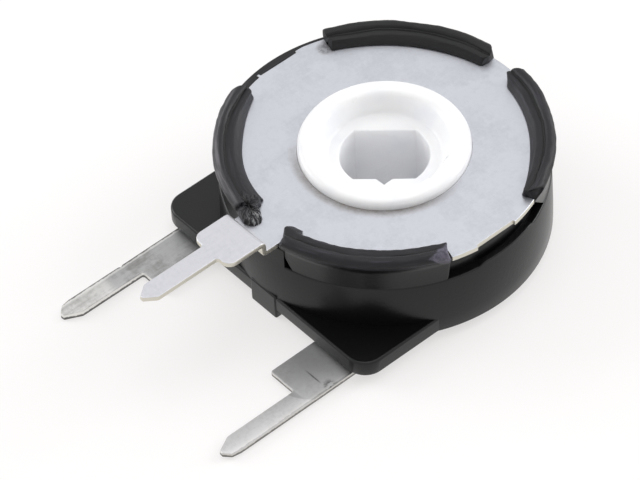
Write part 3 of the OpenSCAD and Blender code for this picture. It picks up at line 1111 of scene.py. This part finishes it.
@dataclass
class Housing:
    """Black moulding: round wall, square foot, crimped rim and the hidden cavity.

    Attributes:
        foot_tuck: How far the foot's rear corners reach back into the round wall.
        plateau_inset: How far the plateau under the foot's flange stands back.
        lip_lean: How far in from the lip's edge its bead begins.
        torn_hub: Point from which its ridges fan out.
        side_half: Half the angle in degrees of the gaps between crimps at the sides, and likewise
            front_half and rear_half.
        nib_back: The y to which the nib runs in.
        rim_flare: How far the rim stands out beyond the wall.
    """

    levels: Levels
    tab: Tab
    foot_half: float = 6.9
    foot_front: float = -7.55
    foot_tuck: float = 0.4
    foot_corner: float = 1.0
    plateau_inset: float = 0.6
    skirt_in: float = 7.06
    skirt_out: float = 7.46
    lip_lean: float = 0.3
    crimps: tuple[Crimp, ...] = (
        Crimp(278.3, 341.6, (6.5, 6.45, 6.72), (5.5, 1.0), 1.0, (0.8, 0.4), (6.66, 6.7),
              tab_share=0.085, tab_reach=0.2),
        Crimp(20.0, 84.9, (6.85, 6.5, 6.6), (8.6, 1.5), 2.0, (1.0, 0.55), (7.1, 6.95),
              leans=(0.0, 9.6), overhangs=(0.0, 1.9)),
        Crimp(95.5, 160.0, (6.62, 6.44, 6.6), (1.5, 1.5), 3.0, (0.7, 0.3), (7.1, 7.5)),
        Crimp(198.6, 259.5, (6.72, 6.36, 6.22), (1.5, 0.0), 4.0, (1.0, 0.0)),
    )
    torn_plan: tuple[Point, ...] = (
        (-1.95, -7.22), (-1.4, -7.48), (-1.0, -7.6), (-0.68, -7.68), (-0.42, -7.58), (-0.25, -7.38),
        (-0.2, -7.1), (-0.36, -6.88), (-0.64, -6.73), (-0.95, -6.62), (-0.98, -6.42), (-1.18, -6.22),
        (-1.6, -6.26), (-2.1, -6.6),
    )
    torn_hub: Point = (-1.05, -7.05)
    side_half: float = 19.0
    front_half: float = 10.5
    rear_half: float = 6.5
    stop_r: float = 5.75
    stop_half: float = 34.7
    stop_top: float = 3.85
    nib_x: float = 0.2
    nib_half: float = 0.86
    nib_back: float = -6.8
    edge: float = 0.12
    rim_flare: float = 0.2
    end_round: float = 0.1

    def foot_outline(self, inset_by: float = 0.0) -> list[Point]:
        """Outlines the square foot.

        Args:
            inset_by: How far inside the flange's own outline.

        Returns:
            The counter-clockwise outline.
        """
        half = self.foot_half - inset_by
        wall = self.levels.wall_r - inset_by
        front = self.foot_front + inset_by
        rear = self.foot_tuck - math.sqrt(wall * wall - half * half)
        corner = max(self.foot_corner - inset_by, 0.2)
        return filleted([(-half, front, corner), (half, front, corner), (half, rear, 0.0),
                         (-half, rear, 0.0)], 12)

    def foot(self) -> Solid:
        """Builds the square flange on its plateau, open where the round wall stands.

        Returns:
            The foot.
        """
        lv = self.levels
        axis, clear_r, below, above = 0.01, 6.0, -1, 9
        clear = [(axis, below), (clear_r, below), (clear_r, above), (axis, above)]
        plateau = Solid.sheet(self.foot_outline(self.plateau_inset), 0.0, lv.foot_z + 0.1, 0.06)
        flange = Solid.sheet(self.foot_outline(), lv.foot_z, lv.flange_z, self.edge)
        opening = Solid.turned(lambda _: clear, around(3.0))
        return flange.combined([plateau], "UNION").combined([opening], "DIFFERENCE")

    def nib(self) -> Solid:
        """Builds the nib that the mould's gate left on the front of the foot.

        Returns:
            The nib.
        """
        left, right = self.nib_x - self.nib_half, self.nib_x + self.nib_half
        front, back = self.foot_front - 0.05, self.nib_back
        plan = filleted([(left, front, 0.1), (right, front, 0.1), (right, back, 0), (left, back, 0)])
        return Solid.sheet(plan, 0.0, self.levels.flange_z + 0.07, 0.09)

    def body_section(self) -> list[Point]:
        """Gives the section of the round wall, floor and plate seat.

        Returns:
            The section.
        """
        lv = self.levels
        plateau = lv.wall_r - self.plateau_inset
        seat = self.skirt_in + 0.04
        return filleted([
            (lv.bore_r, 0.0, 0.05), (plateau, 0.0, 0.08), (plateau, lv.foot_z, 0.0),
            (lv.wall_foot_r, lv.foot_z, 0.08), (lv.wall_foot_r, lv.flange_z, 0.6),
            (lv.wall_r, lv.ledge_z, 0.08), (seat, lv.ledge_z, 0.0), (seat, lv.seat_z, 0.05),
            (lv.cavity_r, lv.seat_z, 0.05), (lv.cavity_r, lv.floor_z, 0.08), (lv.bore_r, lv.floor_z, 0.05),
        ], 3)

    def block(self, radii: Point, heights: Point, heading: float, half: float,
              slope: float = 0.0) -> Solid:
        """Builds a curved block.

        Args:
            radii: Inner and outer radius.
            heights: Lower and upper level.
            heading: Middle angle in degrees.
            half: Half its angle in degrees.
            slope: Height by which it falls away towards its two ends.

        Returns:
            The block.
        """
        (inner, outer), (low, high) = radii, heights

        def section(angle: float) -> list[Point]:
            """Returns the block's section at an angle."""
            top = high - slope * clamped(1 - (half - abs(angle - heading)) / 4) ** 2
            return filleted([(inner, low, 0.0), (outer, low, 0.0), (outer, top, 0.05),
                             (inner, top, 0.0)], 3)

        return Solid.turned(section, between(heading - half, heading + half, 1.0), closed=False)

    def rim(self, inner: float, start: float, stop: float) -> Solid:
        """Builds a stretch of rim that stands outside the cover sheet and flares a little.

        Args:
            inner: Inner radius.
            start: Angle of its first end in degrees.
            stop: Angle of its other end in degrees.

        Returns:
            The stretch.
        """
        lv = self.levels
        low, wall, flare = lv.ledge_z - 0.1, lv.wall_r, lv.wall_r + self.rim_flare
        section = filleted([(inner, low, 0.0), (wall, low, 0.0), (flare, low + 0.6, 0.3),
                            (flare, lv.rim_z, 0.05), (inner, lv.rim_z, 0.0)], 3)
        return Solid.turned(lambda _: section, between(start, stop, 1.5), closed=False)

    def crimp_section(self, lip: float) -> list[Point]:
        """Gives the section of a crimp from its skirt over the two beads to the lip.

        Args:
            lip: Radius of the lip's edge.

        Returns:
            The section, with as many points for any lip.
        """
        lv = self.levels
        outer_r, inner_r = 0.29, 0.36
        sheet, low, groove = lv.plate_z + 0.01, lv.ledge_z - 0.06, lv.lip_z - 0.185
        middle = (lip + self.lip_lean + 7.02) / 2
        return [
            (self.skirt_in, sheet), (self.skirt_in, low), (self.skirt_out, low),
            (self.skirt_out, lv.plate_z - 0.35), (self.skirt_out + 0.04, lv.plate_z - 0.1),
            *arc(7.4, lv.lip_z - outer_r, outer_r, -25, 138, 15),
            (7.155, lv.lip_z - 0.165), (7.12, groove), (7.08, groove),
            *arc(middle, lv.lip_z - 0.13 - inner_r, inner_r, 62, 118, 6),
            (lip + 0.12, lv.plate_z + 0.24), (lip + 0.03, lv.plate_z + 0.12),
            (lip, lv.plate_z + 0.05), (lip + 0.06, sheet),
        ]

    def crimp(self, plan: Crimp) -> Solid:
        """Builds one crimp with rounded ends and a pressed, uneven lip.

        Args:
            plan: Where it runs and how far its lip reaches.

        Returns:
            The crimp.
        """
        run = plan.stop - plan.start
        count = math.ceil(run)
        step = math.degrees(self.end_round / self.levels.wall_r) / run
        turns = [math.radians(angle) for angle in (0, 30, 60, 90)]
        ends = [(1 - math.cos(turn), 1 - math.sin(turn)) for turn in turns]
        shares = [(step * along, inwards) for along, inwards in ends]
        shares += [(step + (1 - 2 * step) * i / count, 0.0) for i in range(1, count)]
        shares += [(1 - step * along, inwards) for along, inwards in reversed(ends)]
        middle = Vector((7.0, self.levels.plate_z + 0.1))
        rings = []
        for share, inwards in shares:
            ring = []
            for point in self.crimp_section(plan.lip(share)):
                r, z = middle + (Vector(point) - middle) * (1 - self.end_round * inwards)
                start = plan.start + plan.falls_short(*point, False)
                stop = plan.stop - plan.falls_short(*point, True)
                ring.append(swung(r, z, start + (stop - start) * share))
            rings.append(ring)
        return Solid.lofted(rings).moved(lambda p: self.pressed(p, plan.seed))

    def pressed(self, point: Vector, seed: float) -> Vector:
        """Makes a crimp's lip slightly uneven, as a hot press leaves it.

        Args:
            point: A point of the crimp.
            seed: The crimp's own seed.

        Returns:
            The moved point.
        """
        lift = clamped((point.z - self.levels.plate_z - 0.15) / 0.3)
        push = noise.noise(Vector((point.x * 0.7, point.y * 0.7, seed))) * 0.07
        fine = noise.noise(Vector((point.x * 3, point.y * 3, seed + 5))) * 0.03
        outwards = Vector((point.x, point.y, 0)).normalized()
        return point + outwards * lift * (push + fine) + Vector((0, 0, -abs(push) * lift))

    def torn_end(self) -> Solid:
        """Builds the melted end of the left lip, smeared over the terminal's neck and torn.

        Returns:
            The end, a low dome whose ridges fan out from where the lip ends.
        """
        plate, rows, spacing = self.levels.plate_z, 13, 0.05
        tall, fall, thins_over = 0.46, 0.26, 1.45
        outline = filleted([(x, y, 0.07) for x, y in self.torn_plan], 3)
        dense: list[Point] = []
        for (x, y), (next_x, next_y) in zip(outline, [*outline[1:], outline[0]]):
            dx, dy = next_x - x, next_y - y
            pieces = max(1, round(math.hypot(dx, dy) / spacing))
            dense += [(x + dx * i / pieces, y + dy * i / pieces) for i in range(pieces)]
        hub = Vector(self.torn_hub)
        rings = [[Vector((x, y, plate + 0.01)) for x, y in dense]]
        for share in (index / rows for index in range(rows)):
            dome = math.sqrt(1 - (1 - share) ** 4)
            ring = []
            for corner in dense:
                flat = hub + (Vector(corner) - hub) * (1 - share)
                out = clamped((flat.x + thins_over) / thins_over)
                ring.append(Vector((flat.x, flat.y, plate + 0.06 + (tall - fall * out) * dome)))
            rings.append(ring)
        return Solid.lofted(rings).moved(self.torn)

    def torn(self, point: Vector) -> Vector:
        """Raises ridges that fan out from the hub, and leaves the underside flat.

        Args:
            point: A point of the melted end.

        Returns:
            The moved point.
        """
        clear = clamped((point.z - self.levels.plate_z - 0.02) / 0.1)
        away = point.to_2d() - Vector(self.torn_hub)
        angle = math.atan2(away.y, away.x)
        ridge = noise.noise(Vector((math.cos(angle) * 6, math.sin(angle) * 6, away.length * 2.5)))
        lump = noise.noise(point * 2.9) + 0.6 * noise.noise(point * 6.0)
        push = noise.noise(Vector((math.cos(angle) * 4, math.sin(angle) * 4, 7.0))) * 0.06
        sideways = away.normalized() * push * clear if away.length > 0.2 else Vector((0, 0))
        return point + Vector((sideways.x, sideways.y, clear * (0.09 * ridge + 0.13 * lump)))

    def cavities(self) -> list[Solid]:
        """Builds what the terminals and their rivets take away.

        Returns:
            The two channels and the two holes.
        """
        lv = self.levels
        channels = [Solid.sheet(self.tab.outline(side, 0.04), -0.5, lv.terminal_t + 0.04, 0.01)
                    for side in Side]
        channels[0].mirrored()
        return channels + [self.tab.rivet_hole(side, -0.5, lv.floor_z + 0.2) for side in Side]

    def build(self, finish: bpy.types.Material) -> bpy.types.Object:
        """Builds the whole moulding.

        Args:
            finish: Its material.

        Returns:
            The piece.
        """
        lv = self.levels
        front, rear = Heading.FRONT.value, Heading.REAR.value
        right, left = Heading.RIGHT.value, Heading.LEFT.value
        section = self.body_section()
        low = lv.ledge_z - 0.1
        seat = (lv.cavity_r + self.skirt_in) / 2, lv.wall_r
        stop = self.stop_r, lv.cavity_r + 0.1
        added = [
            self.foot(),
            self.nib(),
            self.block(seat, (low, lv.seat_z), front + 1.5, self.front_half),
            self.block(seat, (low, lv.seat_z), rear, self.rear_half + 0.1),
            self.rim(7.3, left - self.side_half - 2.5, left + self.side_half),
            self.block((7.22, lv.wall_r), (low, lv.ledge_z + 0.13), right + 5.5, self.side_half - 5, 0.14),
            self.block(stop, (lv.floor_z - 0.1, self.stop_top), front, self.stop_half),
            self.torn_end(),
            *(self.crimp(plan) for plan in self.crimps),
        ]
        body = Solid.turned(lambda _: section, around(1.5)).combined(added, "UNION")
        return body.combined(self.cavities(), "DIFFERENCE").piece("housing_moulding", finish)


@dataclass
class Cover:
    """Stamped cover plate with side lugs, rear lug and the raised centre terminal.

    Attributes:
        flat_x: Distance from the middle to the flat side of a side lug.
        step_half: Half the angle in degrees over which that side stands back.
        step_out: How much further it stands out beyond that angle.
        lugs: Direction, first and last angle from it, and radius of each lug.
        neck_half: Half the width of the terminal's neck and head.
        neck_root: The y at which the neck begins inside the plate.
        neck_end: The y of the riser's face on the plate's side.
        bend: Radius of the strip's middle line in its two bends.
        tip_len: Length over which the pin narrows to its tip.
        path_end: The y well beyond the tip at which the strip's path ends.
        cuts_from: The y of the first of the cuts that let the strip bend.
    """

    levels: Levels
    thick: float = 0.26
    plate_r: float = 7.02
    hole_r: float = 3.93
    flat_x: float = 7.25
    step_half: float = 8.5
    step_out: float = 0.11
    lugs: tuple[tuple[Heading, float, float, float], ...] = (
        (Heading.RIGHT, -18.4, 20.6, 7.45), (Heading.LEFT, -20.2, 9.5, 7.5),
        (Heading.LEFT, 9.5, 18.4, 7.3), (Heading.REAR, -5.9, 5.9, 7.45),
    )
    neck_half: float = 1.225
    neck_root: float = -6.6
    neck_end: float = -8.0
    rise: float = 0.6
    bend: float = 0.17
    head_corner: float = 0.45
    pin_half: float = 0.5
    pin_end: float = -14.05
    tip_half: float = 0.08
    tip_len: float = 0.55
    path_end: float = -20.0
    cuts_from: float = -7.3
    edge: float = 0.04

    def reach(self, angle: float) -> float:
        """Gives the plate's outer radius.

        Args:
            angle: Angle in degrees.

        Returns:
            The radius there.
        """
        for heading, first, last, radius in self.lugs:
            away = apart(angle, heading.value)
            if first < away < last:
                flat = self.flat_x + (self.step_out if abs(away) > self.step_half else 0.0)
                across = max(abs(math.cos(math.radians(angle))), 1e-6)
                return max(min(radius, flat / across), self.plate_r)
        return self.plate_r

    def disc_section(self, angle: float) -> list[Point]:
        """Gives the sheet's section between the boss and the rim.

        Args:
            angle: Angle in degrees.

        Returns:
            The section there.
        """
        low, high, outer = self.levels.seat_z, self.levels.plate_z, self.reach(angle)
        return filleted([(self.hole_r, low, self.edge), (outer, low, self.edge), (outer, high, self.edge),
                         (self.hole_r, high, self.edge / 2)], 3)

    def strip_outline(self) -> list[Point]:
        """Outlines the flat neck, head and pin, before they are bent.

        Returns:
            The counter-clockwise outline.
        """
        end, run = self.levels.head_end, self.flat_end()
        right = [
            (self.tip_half, run + self.pin_end - end, 0.06),
            (self.pin_half, self.pin_end + self.tip_len + run - end, 0.3), (self.pin_half, run, 0.14),
            (self.neck_half, run, self.head_corner), (self.neck_half, self.neck_root, 0.0),
        ]
        return filleted([*right, *((-x, y, radius) for x, y, radius in reversed(right))], 6)

    def path(self) -> list[Point]:
        """Gives the middle line of the bent strip as (y, z), from its root outwards.

        Returns:
            The line, whose last stretch is the straight head and pin.
        """
        half, bend = self.thick / 2, self.bend
        low, high = self.levels.seat_z + half, self.levels.seat_z + half + self.rise
        y = self.neck_end - half
        first = arc(y + bend, low + bend, bend, 270, 180, 6)
        second = arc(y - bend, high - bend, bend, 0, 90, 6)
        return [(self.neck_root, low), *first, *second, (self.path_end, high)]

    def flat_end(self) -> float:
        """Finds where the bent head ends on the flat strip.

        Returns:
            The y on the flat strip.
        """
        path = self.path()
        walked = 0.0
        for (y0, z0), (y1, z1) in zip(path, path[1:-1]):
            walked += math.hypot(y1 - y0, z1 - z0)
        return self.neck_root - walked - (path[-2][0] - self.levels.head_end)

    def bent(self, point: Vector) -> Vector:
        """Bends a point of the flat strip along the path.

        Args:
            point: The point, with z as height about the middle line.

        Returns:
            The bent point.
        """
        path = self.path()
        left = self.neck_root - point.y
        for (y0, z0), (y1, z1) in zip(path, path[1:]):
            span = math.hypot(y1 - y0, z1 - z0)
            if left <= span:
                break
            left -= span
        along = Vector((y1 - y0, z1 - z0)) / span
        up = Vector((along.y, -along.x))
        return Vector((point.x, y0 + along.x * left + up.x * point.z,
                       z0 + along.y * left + up.y * point.z))

    def build(self, finish: bpy.types.Material) -> bpy.types.Object:
        """Builds the plate with its terminal.

        Args:
            finish: Its material.

        Returns:
            The piece.
        """
        corners = [heading.value + end for heading, *ends, _ in self.lugs for end in ends]
        corners += [h + s * self.step_half for h in (0, 180) for s in (-1, 1)]
        extra = [corner + d for corner in corners for d in (-NUDGE, NUDGE)]
        disc = Solid.turned(self.disc_section, around(1.5, extra))
        half = self.thick / 2
        strip = Solid.sheet(self.strip_outline(), -half, half, self.edge)
        strip.sliced([self.cuts_from - 0.05 * i for i in range(36)]).moved(self.bent)
        return disc.combined([strip], "UNION").piece("cover_sheet", finish)


@dataclass
class Rotor:
    """White rotor: rounded boss, dished recess, keyed through hole and hidden carrier.

    Attributes:
        flat_x: Distance from the axis to the hole's two flats.
        notch_depth: Depth of the pointer notch beyond its flat.
        notch_half: Half the notch's width at the flat.
        lug_r: Radius of the lug that meets the stop.
    """

    levels: Levels
    boss_r: float = 3.92
    boss_round: float = 0.28
    recess_r: float = 3.05
    recess_floor_r: float = 2.6
    recess_z: float = 4.4
    hole_r: float = 2.04
    flat_x: float = 1.5
    notch_depth: float = 0.36
    notch_half: float = 0.37
    carrier_r: float = 5.6
    carrier_low: float = 2.4
    carrier_top: float = 3.7
    lug_r: float = 6.6
    lug_half: float = 12.5
    spigot_r: float = 2.75
    spigot_z: float = 0.06
    window_in: float = 3.6
    window_out: float = 5.75
    window_half: float = 0.95

    def hole(self, angle: float) -> float:
        """Gives the keyed hole's radius.

        Args:
            angle: Angle in degrees from the pointer notch.

        Returns:
            The radius there.
        """
        turn = math.radians(angle)
        across = abs(math.cos(turn))
        radius = min(self.hole_r, self.flat_x / max(across, 1e-6))
        if math.cos(turn) > 0 and abs(radius * math.sin(turn)) < self.notch_half:
            slope = math.tan(math.radians(abs(apart(angle, 0))))
            tip = self.flat_x + self.notch_depth
            x = tip / (1 + self.notch_depth / self.notch_half * slope)
            radius = max(radius, x / across)
        return radius

    def section(self, angle: float) -> list[Point]:
        """Gives the rotor's section.

        Args:
            angle: Angle in degrees from the pointer notch.

        Returns:
            The section there.
        """
        boss_z, hole = self.levels.boss_z, self.hole(angle)
        rim = self.lug_r if abs(apart(angle, 0)) <= self.lug_half else self.carrier_r
        return filleted([
            (hole, self.spigot_z, 0.04), (self.spigot_r, self.spigot_z, 0.08),
            (self.spigot_r, self.carrier_low, 0.0), (rim, self.carrier_low, 0.06),
            (rim, self.carrier_top, 0.06), (self.boss_r, self.carrier_top, 0.0),
            (self.boss_r, boss_z, self.boss_round), (self.recess_r, boss_z, 0.4),
            (self.recess_floor_r, self.recess_z, 0.16), (hole, self.recess_z, 0.07),
        ])

    def build(self, finish: bpy.types.Material) -> bpy.types.Object:
        """Builds the rotor at its end stop.

        Args:
            finish: Its material.

        Returns:
            The piece.
        """
        flat = math.degrees(math.acos(self.flat_x / self.hole_r))
        notch = math.degrees(math.atan2(self.notch_half, self.flat_x))
        keys = [0, notch, -notch, flat, -flat, 180 - flat, 180 + flat]
        keys += [s * (self.lug_half + d) for s in (-1, 1) for d in (-NUDGE, NUDGE)]
        body = Solid.turned(self.section, around(1.5, keys))
        near, far, half = self.window_in, self.window_out, self.window_half
        plan = [(near, -half), (far, -half), (far, half), (near, half)]
        window = Solid.sheet(plan, self.carrier_low - 0.5, self.carrier_top + 0.4, 0.02)
        turn = Matrix.Rotation(math.radians(self.levels.rest_angle), 3, "Z")
        body = body.combined([window], "DIFFERENCE", 0.05).moved(lambda p: turn @ p)
        return body.piece("rotor_moulding", finish, 26.0)


# ------------------------------------------------------------------ the set-up


@dataclass
class Camera:
    """The camera: a long lens that looks down on the part from its right front.

    Attributes:
        slide_x: How far it stands to its own left of the rotor axis, in millimetres.
        slide_y: How far it stands below the aim, in millimetres.
        aim_z: Height of the aim in millimetres.
    """

    azimuth: float = 51.118
    elevation: float = 46.957
    roll: float = -3.238
    slide_x: float = 3.045
    slide_y: float = 1.175
    distance: float = 180.0
    aim_z: float = 0.48
    lens: float = 222.384375
    sensor: float = 36.0

    def build(self) -> None:
        """Builds the camera and looks through it."""
        a, e, r = (math.radians(v) for v in (self.azimuth, self.elevation, self.roll))
        back = Vector((math.sin(a) * math.cos(e), -math.cos(a) * math.cos(e), math.sin(e)))
        level = Vector((math.cos(a), math.sin(a), 0))
        upright = back.cross(level)
        right = level * math.cos(r) + upright * math.sin(r)
        up = upright * math.cos(r) - level * math.sin(r)
        spot = Vector((0, 0, self.aim_z)) - right * self.slide_x - up * self.slide_y + back * self.distance
        data = bpy.data.cameras.new("camera")
        data.sensor_width, data.lens = self.sensor, self.lens
        data.clip_start, data.clip_end = 0.01, 5.0
        camera = bpy.data.objects.new("camera", data)
        axes = Matrix((right, up, back)).transposed().to_4x4()
        camera.matrix_world = Matrix.Translation(spot * MM) @ axes
        bpy.context.scene.collection.objects.link(camera)
        bpy.context.scene.camera = camera


@dataclass
class Studio:
    """Pale floor, plain surroundings and soft lamps.

    Attributes:
        floor_gap: How far it lies below the part, in metres.
        floor_tone: Its colour as it takes light and shadow.
        floor_glow: Its colour where it is seen.
        floor_shares: Share of that glow for the eye, for reflections and through clear pieces.
        sky: Colour of the surroundings as a light.
        lamps: Name, place and side in metres, and power in watts of each lamp.
    """

    floor_size: float = 2.0
    floor_gap: float = 0.00002
    floor_tone: Colour = (0.985, 0.978, 0.985)
    floor_glow: Colour = (1.0, 0.985, 0.975)
    floor_shares: Triple = (0.6, 0.9, 0.9)
    sky: Colour = (1.0, 0.985, 0.97)
    ambient: float = 0.61
    lamp_tone: Colour = (0.975, 0.985, 1.0)
    lamps: tuple[tuple[str, Triple, float, float], ...] = (
        ("key", (-0.05, 0.12, 0.53), 0.3, 0.5),
        ("right_fill", (0.17, 0.52, 0.26), 0.35, 1.9),
        ("left_fill", (-0.48, -0.26, 0.26), 0.35, 1.5),
    )

    def lamp(self, name: str, spot: Triple, size: float, power: float) -> None:
        """Adds a square soft lamp that faces the part.

        Args:
            name: The lamp's name.
            spot: Its place in metres.
            size: Its side in metres.
            power: Its power in watts.
        """
        data = bpy.data.lights.new(name, "AREA")
        data.size, data.energy, data.color = size, power, self.lamp_tone
        lamp = bpy.data.objects.new(name, data)
        lamp.location = spot
        lamp.rotation_mode = "QUATERNION"
        lamp.rotation_quaternion = Vector(spot).to_track_quat("Z", "Y")
        bpy.context.scene.collection.objects.link(lamp)

    def surroundings(self) -> None:
        """Makes the world white to the eye and in reflections, and dim as a light."""
        world = bpy.data.worlds.new("surroundings")
        bpy.context.scene.world = world
        graph = Graph(world)
        mask = graph.looked_at((1.0, 1.0, 1.0))
        dim, plain = (
            graph.add("ShaderNodeBackground", inputs={"Color": (*colour, 1.0), "Strength": strength})
            for colour, strength in ((self.sky, self.ambient), ((1.0, 1.0, 1.0), 1.0))
        )
        mixed = graph.add("ShaderNodeMixShader", inputs={0: mask, 1: dim, 2: plain})
        graph.add("ShaderNodeOutputWorld", inputs={"Surface": mixed})

    def floor(self) -> None:
        """Lays the pale floor that takes the part's shadow."""
        half = self.floor_size / 2
        mesh = bpy.data.meshes.new("floor")
        corners = [(x * half, y * half, 0) for x, y in ((-1, -1), (1, -1), (1, 1), (-1, 1))]
        mesh.from_pydata(corners, [], [(0, 1, 2, 3)])
        floor = bpy.data.objects.new("floor", mesh)
        floor.location.z = -self.floor_gap
        bpy.context.scene.collection.objects.link(floor)
        made = bpy.data.materials.new("pale_floor")
        graph = Graph(made)
        mask = graph.looked_at(self.floor_shares)
        matte = graph.add("ShaderNodeBsdfDiffuse", inputs={"Color": (*self.floor_tone, 1.0)})
        glow = graph.add("ShaderNodeEmission", inputs={"Color": (*self.floor_glow, 1.0), "Strength": 1.0})
        mixed = graph.add("ShaderNodeMixShader", inputs={0: mask, 1: matte, 2: glow})
        graph.add("ShaderNodeOutputMaterial", inputs={"Surface": mixed})
        mesh.materials.append(made)

    def build(self) -> None:
        """Builds the whole set-up."""
        self.surroundings()
        self.floor()
        for lamp in self.lamps:
            self.lamp(*lamp)
        bpy.context.scene.view_settings.view_transform = "Standard"


class Trimmer:
    """The whole part, with each piece on the body that carries it."""

    def __init__(self, nodes: dict[str, bpy.types.Object]) -> None:
        """Makes the sub-assemblies and the finishes of the pieces that show.

        Args:
            nodes: The solids by name.
        """
        self.nodes = nodes
        levels = Levels()
        self.tab = Tab(levels)
        self.housing = Housing(levels, self.tab)
        self.cover = Cover(levels)
        self.rotor = Rotor(levels)
        self.black = BlackMoulding("black_moulding").material()
        self.white = WhiteMoulding("white_moulding").material()
        self.plate = CoverMetal(
            "plated_sheet", linear(196, 198, 205), linear(173, 175, 181), 0.32, 0.35,
            dip_reach=48.1, dipped=linear(200, 200, 205), metallic=0.8,
        ).material()
        right = TabMetal(
            "tinned_sheet_right", linear(172, 172, 172), linear(148, 147, 145), 0.42, 0.25,
            cut=linear(205, 203, 199), rough_cut_and_shadow=linear(118, 117, 114), cut_split=0.24, burr=0.35,
            dip_hub=(4.6, -8.6, 0.35), dip_reach=1.76, dip_soft=0.07, dipped=linear(196, 195, 195),
            metallic=0.85,
        )
        left = TabMetal(
            "tinned_sheet_left", linear(166, 166, 166), linear(126, 125, 123), 0.42, 0.6,
            cut=linear(232, 231, 228), rough_cut_and_shadow=linear(104, 103, 101), cut_split=0.16,
            dip_reach=52.2, dip_soft=0.6, dipped=linear(196, 195, 193), streaks=0.9, metallic=0.85,
        )
        self.tins = {Side.RIGHT: right.material(), Side.LEFT: left.material()}

    def mount(self, piece: bpy.types.Object, body: str, node: str) -> None:
        """Puts a piece on its body in place of its solid.

        Args:
            piece: The piece.
            body: The body that it rides on.
            node: The solid that it stands for.
        """
        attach(piece, body)
        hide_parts(node)

    def outside(self) -> None:
        """Builds the five pieces that show."""
        self.mount(self.housing.build(self.black), "base", "housing")
        self.mount(self.cover.build(self.plate), "base", "cover_plate")
        self.mount(self.rotor.build(self.white), "rotor", "rotor")
        for side in Side:
            name = f"{side.name.lower()}_terminal"
            self.mount(self.tab.build(side, self.tins[side]), "base", name)

    def inside(self) -> None:
        """Gives the solids inside their finishes."""
        carbon = PrintedFilm("carbon_film", linear(34, 34, 36), linear(52, 52, 54), 0.0)
        silver = PrintedFilm("silver_film", linear(196, 198, 202), linear(170, 172, 176), 1.0)
        board = Phenolic("phenolic_board")
        rivet = SheetMetal("rivet_metal", linear(205, 205, 207), linear(170, 170, 170), 0.28, 0.6)
        spring = SheetMetal("spring_metal", linear(214, 190, 130), linear(186, 160, 104), 0.25, 0.5)
        dressing = {carbon: ("carbon_track",), silver: ("left_end_pad", "right_end_pad"),
                    board: ("element_board",), rivet: ("left_rivet", "right_rivet"), spring: ("wiper",)}
        for finish, names in dressing.items():
            material = finish.material()
            for name in names:
                mesh = self.nodes[name].data
                mesh.materials.clear()
                mesh.materials.append(material)
                LOG.info("%s: dressed in %s", name, material.name)


def main() -> None:
    """Builds the part, its finishes, the lamps and the camera."""
    logging.basicConfig(level=logging.INFO, format="%(message)s")
    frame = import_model()
    trimmer = Trimmer(frame["nodes"])
    trimmer.outside()
    trimmer.inside()
    Studio().build()
    Camera().build()


if __name__ == "__main__":
    main()
